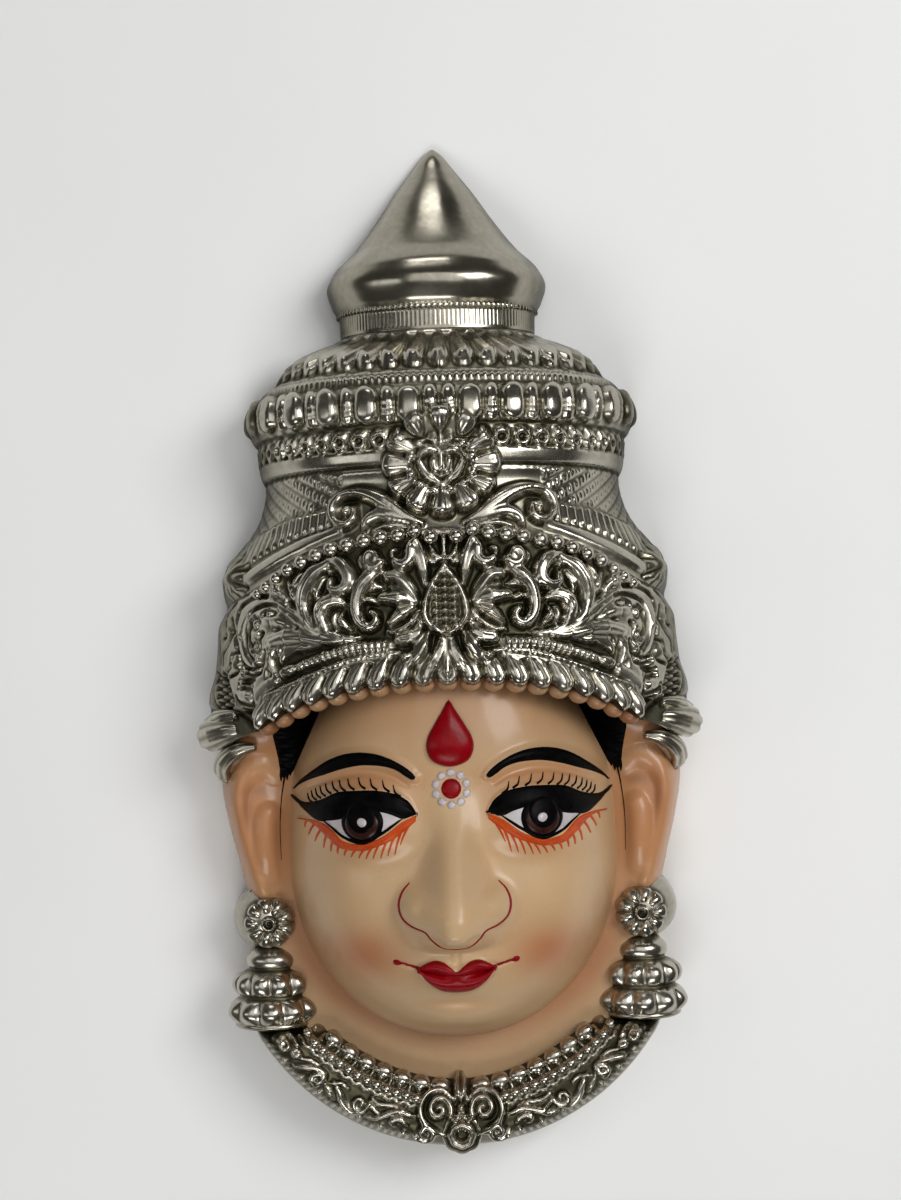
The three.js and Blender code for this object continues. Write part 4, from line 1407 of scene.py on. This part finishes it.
# The ears, the neck and the hair


plate_profile = smooth_rows(PLATE_ROWS)
NECK_RADIUS, NECK_TOP = 55, -91  # below this height the plate ends under the collar's wall


def plate_half(y):
    return plate_profile(y.clip(PLATE_LOW, PLATE_TOP), 1)


def plate_rim(turn):
    """The outline's distance from the face's middle at an angle from straight down."""
    radius = np.arange(30, 90, 0.05)[:, None]
    x = radius * np.sin(turn)
    y = FACE["y"] - radius * np.cos(turn)
    outside = (np.abs(x) > plate_half(y)) | (y < PLATE_LOW)
    outside |= (np.hypot(x, y - COLLAR_Y) > NECK_RADIUS) & (y < NECK_TOP)
    return radius[np.argmax(outside, axis=0), 0]


def plate_lift(x, y):
    """How far the ears stand out of the plate."""
    ax = np.abs(x)
    z = 6 * hill(ax, y, (47, -13), (11, 12), 2)
    z += 3 * hill(ax, y, (49, -43), (8.5, 16), 2)
    helix = smooth_path([(42.6, -29), (46, -27.2), (50.4, -28.4), (53.4, -32.8), (53.9, -39),
                         (52.8, -46), (50.8, -53), (48, -58)])
    z += swelling(ax, y, helix, [3, 3.6, 4, 4.2, 4.2, 4, 3.8, 3.2], [1.3, 1.9, 2.2, 2.3, 2, 1.6, 1.2, 0.8])
    inner = smooth_path([(45.2, -38.4), (46, -41), (46, -47), (44.8, -54)])
    z += swelling(ax, y, inner, [3.4, 3.6, 3.4, 2.6], [1.4, 1.5, 1.2, 0.4])
    return z + hill(ax, y, (48.2, -57.5), (3.6, 3.6), 1.3)


def plate_shoulder(inward):
    """The rounding of the plate's edge, from 0 at its rim to 1 well inside it."""
    return (1 - (1 - (inward / 7).clip(0, 1)) ** 2.2) ** (1 / 2.2)


def plate_z(x, y):
    """The skin beside and under the face."""
    turn = np.arctan2(x, FACE["y"] - y)
    inward = plate_rim(turn.ravel()).reshape(turn.shape) - np.hypot(x, FACE["y"] - y)
    return plate_shoulder(inward) * (PLATE_HEIGHT + plate_lift(x, y))


def plate_tint(x, y):
    ax = np.abs(x)
    base = np.broadcast_to(CREAM * 0.7 + PEACH * 0.1, x.shape + (3,))
    # Painted shade on the plate beside the face.
    near_face = np.clip(1 - (ax - face_half(y.clip(-95, 0))) / 5, 0, 1)
    ear = hill(ax, y, (50, -42), (10, 20), 2)
    # Painted shade in the ear's folds.
    folds = (hill(ax, y, (46, -32.4), (4.2, 1.7)) + hill(ax, y, (50.4, -37), (1.5, 5))
             + 0.8 * hill(ax, y, (43, -44), (1.3, 9)))
    # Painted shade under the chin, round the jaw.
    jaw = np.clip((-58 - y) / 20, 0, 1) * np.clip(
        1 - (np.hypot(x, y - FACE["y"]) - 42) / 10, 0, 1)
    return toned(
        base, (PEACH * 1.1, 0.85 * ear), (PEACH, 0.55 * near_face * np.clip((y + 95) / 10, 0, 1)),
        (BROWN, 0.55 * folds), (PEACH, 0.6 * jaw), (BROWN, 0.45 * jaw),
        (PEACH * 0.9, 0.8 * np.clip((y + 28) / 6, 0, 1)), (BROWN, 0.5 * np.clip((y + 22) / 8, 0, 1)),
    )


def build_plate():
    """The ears and the neck: a band round the face, open where the crown covers it."""
    end = math.radians(128)
    turns = np.linspace(-end, end, 4 * 120 + 1)
    outer = plate_rim(turns)
    across, up = np.sin(turns), -np.cos(turns)
    tall = np.where(up < 0, FACE["down"], FACE["up"])
    inner = 1 / np.hypot(across / FACE["x"], up / tall) - 3.5
    radius = inner + (1 - np.linspace(1, 0, 4 * 14 + 1)[:, None] ** 1.25) * (outer - inner)
    inward = outer - radius
    shoulder = plate_shoulder(inward)

    def sheet(radius, z):
        return np.stack([radius * across, FACE["y"] + radius * up, z], axis=-1)[::-1]

    z = shoulder * (PLATE_HEIGHT + plate_lift(radius * across, FACE["y"] + radius * up))
    front = sheet(radius, z)
    pulled = radius - (WALL - inward).clip(0)
    back = sheet(pulled, np.minimum(z, shoulder * PLATE_HEIGHT) - WALL)
    points, faces = shell(front, back[::EVERY, ::EVERY])
    tint = plate_tint(front[..., 0], front[..., 1]).reshape(-1, 3)
    return mesh_object("ears_and_neck", points, faces, SKIN, tint=tint)


def build_hair():
    """The locks at the temples, brushed with fine strands."""
    parts = Parts()
    front = [(30.2, -10), (31.4, -13), (33, -16.6), (34.6, -19.9), (37.4, -25.4), (38.9, -28.4)]
    back_edge = [(43.9, -12), (43.7, -15.6), (43.3, -19), (42.7, -23), (42, -28.4)]
    edges = even_edges(front, back_edge, 0.3, 70)
    share, across = np.linspace(0, 1, 70)[:, None], np.linspace(0, 1, 25)

    def hair_surface(x, y):
        return np.maximum(plate_z(x, y), face_z(x, y))

    strands = 0.35 + 0.22 * np.sin(95 * share + 7 * across) + 0.12 * np.sin(37 * share - 5 * across)
    rise = strands * np.sqrt(4 * across * (1 - across))
    parts.add(*film(hair_surface, edges, across, rise, base=0.6))
    for x, y, fall in ((39.4, -28, 1.4), (40.2, -28, 2.4), (41, -28, 1.8), (41.6, -28, 2.6)):
        lock = [(x, y), (x + 0.2, y - 0.5 * fall), (x + 0.3, y - fall)]
        parts.add(*line(hair_surface, lock, [0.5, 0.4, 0.08], 0.2))
    sideburn = [(40.9, -29), (41.8, -34), (42.4, -41), (42.4, -50)]
    parts.add(*line(plate_z, sideburn, [0.24, 0.1, 0.08, 0.04], 0.12))
    parts.mirror()
    return parts.build("temple_hair", BLACK)


pieces += [build_face(), *build_eyes(), build_red_paint(), build_bindi_dots(), build_hem_tips(),
           build_plate(), build_hair()]


# The collar


COLLAR_OUT, COLLAR_WIDE = 58.7, 19.3  # the radius of its outer edge, and how wide it is
COLLAR_SPREAD = 50  # the radius at which collar ornament is laid out
collar_path = smooth_path(COLLAR_ROWS, 0.2)
collar_length = run_along(*collar_path.T)


def collar_place(radius):
    """The length along the collar's section from its inner edge to a radius."""
    return np.interp(radius, collar_path[:, 0], collar_length)


def collar_convert(x, y):
    radius = np.hypot(x, y - COLLAR_Y)
    return np.arctan2(x, COLLAR_Y - y) * COLLAR_SPREAD, collar_place(radius)


def ornament_collar(relief):
    """The collar's beads, cord, scrolls and leaves, right half."""

    def ring(radius, width, top, shape=rounded, waver=0.0):
        a = np.linspace(10.5, 1.12 * COLLAR_SPREAD, 260)
        b = collar_place(radius) + waver * np.sin(2 * PI * a / 3.2)
        relief.sweep(np.stack([a, b], axis=1), width, top, shape, foot=-0.3)

    def trail(points, width, top, shape=rounded):
        """A stroke through points of (a, radius)."""
        path = smooth_path([[a, collar_place(radius)] for a, radius in points])
        relief.sweep(path, width, top, shape, foot=-0.5)

    def eye(a, radius, outer, start):
        turn = math.radians(start) - np.linspace(0, 2.3 * PI, 40)
        path = around((a, collar_place(radius)), np.linspace(outer, 0.5, 40), turn)
        relief.sweep(path, 0.5, [1.2, 1.3, 1.5], foot=-0.5)

    # Wide petals at the inner edge, a row of beads and a wavy line.
    for k in range(9):
        a = 6.2 + 5.8 * k
        root, tip = collar_place(42.9), collar_place(39.6)
        relief.petal(a, root, PI, root - tip, 3, 1.7, foot=-0.4, ribs=1)
        trail([(a - 2.9, 41.2), (a - 2.9, 42.6)], [0.3, 0.6], 1)
    ring(44.2, 1.2, 0.4, flat_shape)
    ring(46.1, 0.35, 0.8, waver=0.25)
    # Scrolls that follow one another round the band.
    trail([(12.2, 48.6), (15.6, 48.3), (18.8, 49.8), (21, 51.8), (23.4, 52.4)],
          [0.4, 0.8, 0.9, 0.7, 0.4], [1, 1.5, 1.5, 1.3, 0.8], two_lined)
    trail([(13.2, 51), (15.2, 49.9), (17.2, 51), (16, 52.2)], [0.3, 0.6, 0.6, 0.3], 1)
    trail([(20.2, 50.4), (22.4, 49.6), (24, 48.4)], [0.3, 0.6, 0.3], 1.1)
    trail([(14.6, 47.2), (18.4, 47.5), (21.6, 48.2), (23.8, 47.4)], [0.3, 0.6, 0.6, 0.3], 1.1)
    eye(25.8, 49.9, 2.1, 200)
    trail([(24.1, 51.6), (26.6, 52.6), (29.2, 51.8), (31.6, 50), (34.4, 48.4)],
          [0.5, 0.9, 1, 0.8, 0.3], [1, 1.5, 1.5, 1.3, 0.8], two_lined)
    trail([(29.8, 48.2), (32.2, 48), (34.6, 49.6)], [0.3, 0.6, 0.3], 1.1)
    trail([(31.6, 52.6), (33.4, 51.4), (35.2, 50.6)], [0.3, 0.6, 0.3], 0.9)
    eye(37.4, 50.6, 1.8, 120)
    trail([(35.6, 50), (37.4, 48.4), (40.8, 49.6), (43.8, 52.2)], [0.4, 0.8, 0.9, 0.4],
          [1, 1.4, 1.4, 0.8], two_lined)
    trail([(39.4, 47.6), (42, 48.2), (43.8, 49.6)], [0.3, 0.6, 0.3], 1.1)
    eye(45.6, 49.3, 1.2, 200)
    eye(48.8, 50.6, 1.6, 20)
    trail([(46.6, 47.8), (49.2, 48), (51.2, 49.8), (51.4, 52)], [0.4, 0.7, 0.7, 0.3], 1.2)
    for a in np.arange(12.5, 52, 1.65):
        trail([(a, 53.4), (a + 0.2, 55.2)], [0.3, 0.5, 0.3], 0.4)
    for a in np.arange(13.6, 50, 5.4):
        trail([(a, 53.2), (a + 0.02, 53.3)], 0.7, 0.9)
    # The middle: a drop over two scrolls, a flower and the pendant's frame.
    stroke = relief.stroke
    stroke([(0, -104.4), (0, -106), (0, -107.6)], [0.7, 1.9, 2.4], [1.8, 3, 3.4], creased)
    stroke([(2.6, -105.8), (4.6, -106), (6.2, -107.4)], [0.5, 1.1, 0.6], [1.2, 2, 1.2])
    relief.spiral(5.5, -111.5, 3.5, 1.4, 150, 0.95, 2.8)
    stroke([(1.6, -109.4), (4.4, -107.4), (8, -107.8), (10, -110.6), (9.4, -114), (6, -116.6),
            (3.4, -117.6)], [0.5, 0.8, 0.9, 0.9, 0.9, 0.8, 0.5], [1.4, 2.2, 2.4, 2.4, 2.2, 2, 1.4])
    relief.dome(0, -111.4, 1.35, 1.35, 3)
    for k in range(6):
        relief.dome(*around((0, -114.6), 1.6, math.radians(60 * k)), 0.95, 0.95, 2.4)
    relief.dome(0, -114.6, 0.9, 0.9, 2.8)
    relief.spiral(8.8, -116.6, 2.6, 1.2, 30, 0.8, 2)


def radius_of(b):
    return np.interp(b, collar_length, collar_path[:, 0])


def collar_inness(radius):
    """From 0 at the collar's outer edge to 1 at its inner one."""
    return ((COLLAR_OUT - radius) / COLLAR_WIDE).clip(0, 1)


def collar_points(a, b):
    """The collar's surface. Its inner edge opens out towards the earrings."""
    radius = radius_of(b)
    z = np.interp(b, collar_length, collar_path[:, 1])
    turn = a / COLLAR_SPREAD
    radius = radius + 3 * (turn / 1.02) ** 4 * collar_inness(radius)
    y = COLLAR_Y - radius * np.cos(turn)
    sink = ((y - COLLAR_TOP) / 7 + 1).clip(0, 1)
    z = z * (1 - 0.55 * sink**2 * (3 - 2 * sink))
    return np.stack([radius * np.sin(turn), y, z], axis=-1)


def collar_inner(flat, outward):
    """The collar's inner wall, kept over the neck's plate."""
    back = (flat - outward * WALL)[::EVERY, ::EVERY]
    over_neck = np.hypot(back[..., 0], back[..., 1] - COLLAR_Y) < 43
    back[..., 2] = np.where(over_neck, back[..., 2].clip(PLATE_HEIGHT - 2), back[..., 2])
    return back


def build_collar():
    b = np.linspace(collar_length[-1], 0, 4 * 30 + 1)[:, None]
    radius = radius_of(b)
    end = np.arccos((COLLAR_Y - COLLAR_TOP) / (radius + 3 * collar_inness(radius))) * COLLAR_SPREAD
    a, b = np.broadcast_arrays(np.linspace(0, 1, 2 * 86 + 1) * end, b)
    relief = Relief(a, b, collar_convert, -0.5)
    ornament_collar(relief)
    height = 0.85 * soften(relief.height, 1)
    height = height * np.clip((collar_length[-1] - b) / 4, 0, 1) ** 0.7 * np.clip(b / 1.5, 0, 1)
    outer = np.clip((radius - 50) / 4, 0, 1)
    wall = np.clip((radius - 55.6) / 1.4, 0, 1)
    recess = recess_of(relief.height, ground=-0.5) * (1 - 0.3 * outer) * (1 - 0.8 * wall)
    return relief_shell("collar", SILVER, collar_points(a, b), height, collar_inner, recess)


def held_in(points):
    """Keeps a lump out of the hollow: over the plate it starts inside the plate's wall."""
    points = np.array(points)
    inside = np.abs(points[:, 0]) < plate_half(points[:, 1]) - 1.6
    points[:, 2] = np.maximum(points[:, 2], np.where(inside, PLATE_HEIGHT - 1.6, 0))
    return points


def build_collar_beads():
    """The round beads and the plump petals that stand up from the collar's inner slope."""
    parts = Parts()
    for k in range(14):
        a = 12.4 + 2.9 * k
        centre, _ = over_collar(a, 44.2, 0.7)
        parts.add(*bead(centre, 1.35))
    for k in range(9):
        centre, outward = over_collar(6.2 + 5.8 * k, 40.9, 0.2)
        parts.add(*egg_shape(centre, outward, [0, 0, 1], 2.5, 1.7, 1.5))
    parts.mirror()
    return parts.build("collar_beads", SILVER)


def over_collar(a, radius, lift):
    """A point over the collar's surface, and the level way out from its middle."""
    turn = a / COLLAR_SPREAD
    outward = np.array([math.sin(turn), -math.cos(turn), 0])
    return collar_points(a, collar_place(radius)) + [0, 0, lift], outward


def level_ring(centre, radius, z, turn):
    """A ring of points round an upright axis, at height z."""
    return np.column_stack([around(centre, radius, turn), np.broadcast_to(z, turn.shape)])


def build_pendant():
    """The lobed ring that hangs from the collar's middle."""
    profile = [(0.1, 25.2), (0.7, 25), (1.1, 25.4), (1.6, 26.8), (2.4, 27.4), (3.1, 26.9),
               (3.5, 25.6), (3.9, 25.2), (4.5, 25), (4.9, 23.6), (5.3, 19), (6.2, 9), (7, 0.4),
               (7, 0), (0.1, 0)]
    profile = smooth_path(profile[:13], 0.35).tolist() + profile[13:]
    turn = ring_turns(64)
    rings, recess = [], []
    for radius, z in profile:
        lobes = 1 + 0.06 * np.abs(np.cos(4 * turn)) * min(1, radius / 2) * (z > 22)
        rings.append(level_ring((0, -119.2 + 1.9 * min(1, z / 20)), radius * lobes, z, turn))
        low = radius < 1.2 or 3.4 < radius < 4.1 and z > 22
        recess.append(np.full(len(turn), 0.8 if low else 0.1))
    parts = Parts()
    parts.add(*closed_tube(rings))
    return parts.build("pendant", SILVER, recess=np.concatenate([*recess, [0.8, 0]]))


# The earrings and the buds over the ears


DROP_ROWS = [
    (-92.2, 0.4), (-92, 5), (-91.4, 8.4), (-90.8, 9.4), (-90.2, 9.2), (-89.6, 9.6), (-88, 10.4),
    (-86.4, 10.3), (-84.8, 9.4), (-83.9, 8.3), (-83.4, 8.2), (-82.6, 8.9), (-81, 9.2), (-79.2, 8.8),
    (-78, 7.6), (-77.2, 6), (-76.8, 5.7), (-76.2, 6.1), (-75.2, 6.4), (-74, 6.2), (-72.8, 5.2),
    (-71.6, 3.6), (-70.6, 0.4),
]
EARRING_X = 45.8


def earring_drop():
    """The tiered drop, turned about an upright axis and lobed. Returns its rings and recess."""
    turn = ring_turns(120)
    rings, recess = [], []
    for y, radius in smooth_path(DROP_ROWS, 0.3):
        lobes, shift = 0.0, 0.0
        if -90.2 < y < -84:
            lobes, shift = 0.09 * wave((y + 90.2) / 6.2) ** 0.5, 0.3
        elif -83.4 < y < -77.4:
            lobes = 0.09 * wave((y + 83.4) / 6) ** 0.5
        bulge = np.abs(np.cos(5 * (turn + shift))) ** 0.7
        wide = radius * (1 - lobes + 2 * lobes * bulge)
        rings.append(np.stack([EARRING_X + wide * np.cos(turn), np.full(120, y),
                               14 + 0.92 * wide * np.sin(turn)], axis=1))
        plain = np.interp(y, [-90, -84.2, -78.4, -76.2, -72], [9.6, 9.2, 8.4, 6, 5])
        recess.append(np.clip((plain - wide) / 1.4, 0, 0.8))
    return rings, recess


def earring_boss():
    """The boss that the flower sits on."""
    turn = ring_turns(48)
    rings = [level_ring((47, -64.6), 8.2 * r, 11 + 10 * math.sqrt(max(0.0, 1 - r * r)), turn)
             for r in np.linspace(0.04, 1, 14)]
    rings += [level_ring((47, -65), 8.6 * r, 0, turn) for r in (1, 0.04)]
    return rings, np.full((len(rings), len(turn)), 0.12)


def earring_flower():
    """Petals round a ring with a seed."""
    middle = (EARRING_X, -65.3)
    turn = ring_turns(128)
    petal = np.abs(np.cos(4.5 * turn)) ** 0.5
    rings, recess = [], []
    for r in np.linspace(0.1, 6.6, 36):
        reach = np.clip((r - 2.2) / 1.2, 0, 1)
        wide = r * (1 - 0.1 * (1 - petal) * np.clip((r - 4.4) / 1.6, 0, 1))
        swell = math.sin(PI * min(1, max(0, (r - 2.2) / 5)) ** 0.8)
        z = 20.4 + 1.3 * petal * swell - 0.3 * (1 - petal) * reach
        z += 2.3 * groove((r - 1.4) / 0.45) + 1.3 * groove(r / 0.5)
        z -= 3.2 * max(0.0, (r - 5.9) / 0.7) ** 2 + 0.25 * max(0.0, r - 2.4)
        rings.append(level_ring(middle, wide, z, turn))
        hole = 0.8 if 1.9 < r < 2.5 or r < 0.9 else 0.0
        recess.append(np.maximum(0.5 * reach * np.clip(1 - 1.3 * petal, 0, 1), hole))
    for r in (6.6, 0.1):
        rings.append(level_ring(middle, r, 14, turn))
        recess.append(np.full(128, 0.4))
    return rings, recess


def lumps(name, shapes):
    """A silver piece from closed shapes, each its rings and their recess, on both sides."""
    parts, recess = Parts(), []
    for rings, deep in shapes:
        points, faces = closed_tube(rings)
        parts.add(held_in(points), faces)
        recess += [*deep, [0, 0]]
    parts.mirror()
    return parts.build(name, SILVER, recess=np.concatenate(recess + recess))


def bud(path, wide, thick):
    """A curled leaf: a lobed tube, flattened, along a path of (x, y, z)."""
    along = smooth_path(path, 0.35)
    share = np.linspace(0, 1, len(along))
    forward = unit(np.gradient(along, axis=0))
    side = unit(np.cross(forward, [0, 0, 1.0]))
    out = np.cross(side, forward)
    turn = ring_turns(60)
    crease = np.cos(4 * turn) ** 4
    ring = around((0, 0), 1 - 0.1 * crease, turn)
    rings = [
        place + ring[:, :1] * w * x_way + ring[:, 1:] * t * z_way
        for place, x_way, z_way, w, t in zip(along, side, out, spread(wide, share), spread(thick, share))
    ]
    return rings, np.tile(0.45 * crease, (len(rings), 1))


def build_buds():
    return lumps("ear_buds", [
        bud([(48.6, -17.4, 25), (52.6, -17.4, 24), (57, -18.4, 19), (61, -19.8, 12)],
            [1.2, 3.2, 4.1, 4, 1.8], [1.4, 3.4, 4.4, 4.2, 1.8]),
        bud([(47.4, -21.6, 24), (51.4, -22.4, 23), (55, -25.4, 18), (56.4, -29.8, 11)],
            [1, 2.4, 3, 3, 1.2], [1.2, 2.8, 3.6, 3.4, 1.4]),
        bud([(51.4, -13.4, 26), (55.4, -14.2, 22), (59.4, -15.8, 14)],
            [1.2, 2.2, 1.4], [1.4, 2.6, 1.6]),
    ])


def build_earrings():
    return lumps("earrings", [earring_drop(), earring_boss(), earring_flower()])


pieces += [build_collar(), build_collar_beads(), build_pendant(), build_earrings(), build_buds()]


# The floor, the lights and the camera


def build_floor():
    mesh = bpy.data.meshes.new("floor")
    size = 2.5
    mesh.from_pydata([(-size, -size, 0), (size, -size, 0), (size, size, 0), (-size, size, 0)],
                     [], [(0, 1, 2, 3)])
    floor = bpy.data.objects.new("floor", mesh)
    bpy.context.scene.collection.objects.link(floor)
    material, tree, shader = new_material("floor_paper", "", 0.75)
    colour = ramp(tree, noise(tree, 6, detail=3), [(0.3, (0.88, 0.88, 0.87)), (0.7, (0.92, 0.92, 0.91))])
    feed(tree, shader.inputs["Base Color"], colour)
    mesh.materials.append(material[0])


def softbox(name, place, aim, width, height, power):
    light = bpy.data.lights.new(name, "AREA")
    light.shape = "RECTANGLE"
    light.size, light.size_y = width, height
    light.energy = power
    lamp = bpy.data.objects.new(name, light)
    bpy.context.scene.collection.objects.link(lamp)
    lamp.location = place
    lamp.rotation_euler = (Vector(aim) - Vector(place)).to_track_quat("-Z", "Y").to_euler()


def build_world():
    world = bpy.data.worlds.new("studio")
    world.use_nodes = True
    tree = world.node_tree
    background = tree.nodes["Background"]
    where = tree.nodes.new("ShaderNodeTexCoord")
    split = tree.nodes.new("ShaderNodeSeparateXYZ")
    tree.links.new(where.outputs["Generated"], split.inputs["Vector"])
    shade = ramp(tree, split.outputs["Z"], [
        (0.0, (0.11, 0.105, 0.095)), (0.15, (0.06, 0.057, 0.05)), (0.5, (0.06, 0.057, 0.052)),
        (1.0, (0.08, 0.08, 0.076)),
    ])
    tree.links.new(shade, background.inputs["Color"])
    bpy.context.scene.world = world


def build_camera():
    data = bpy.data.cameras.new("camera")
    data.sensor_fit = "VERTICAL"
    # From 600 mm over the floor it takes in 304.8 mm from the picture's top to its bottom.
    data.sensor_height = 24
    data.lens = data.sensor_height * 600 / 304.8
    data.clip_start, data.clip_end = 0.01, 20
    camera = bpy.data.objects.new("camera", data)
    camera.location = (0.0012, 0.0127, 0.6)
    camera.rotation_euler = (0, 0, -math.radians(1.77))
    bpy.context.scene.collection.objects.link(camera)
    bpy.context.scene.camera = camera


build_floor()
build_world()
softbox("key", (0.6, 0.3, 0.85), (0, 0, 0.02), 0.45, 0.5, 5.6)
softbox("back", (-0.1, 1.25, 0.38), (0, 0.1, 0.02), 0.45, 0.22, 1.4)
softbox("fill", (-0.75, 0.0, 0.7), (0, 0, 0.02), 0.25, 0.6, 0.7)
softbox("low", (-0.1, -0.7, 0.8), (0, 0, 0.02), 0.6, 0.25, 3)
softbox("over", (0.05, 0.3, 1.15), (0, 0, 0.02), 1, 0.9, 3)
bpy.context.scene.view_settings.view_transform = "Standard"
build_camera()

for piece in pieces:
    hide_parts(NODE)
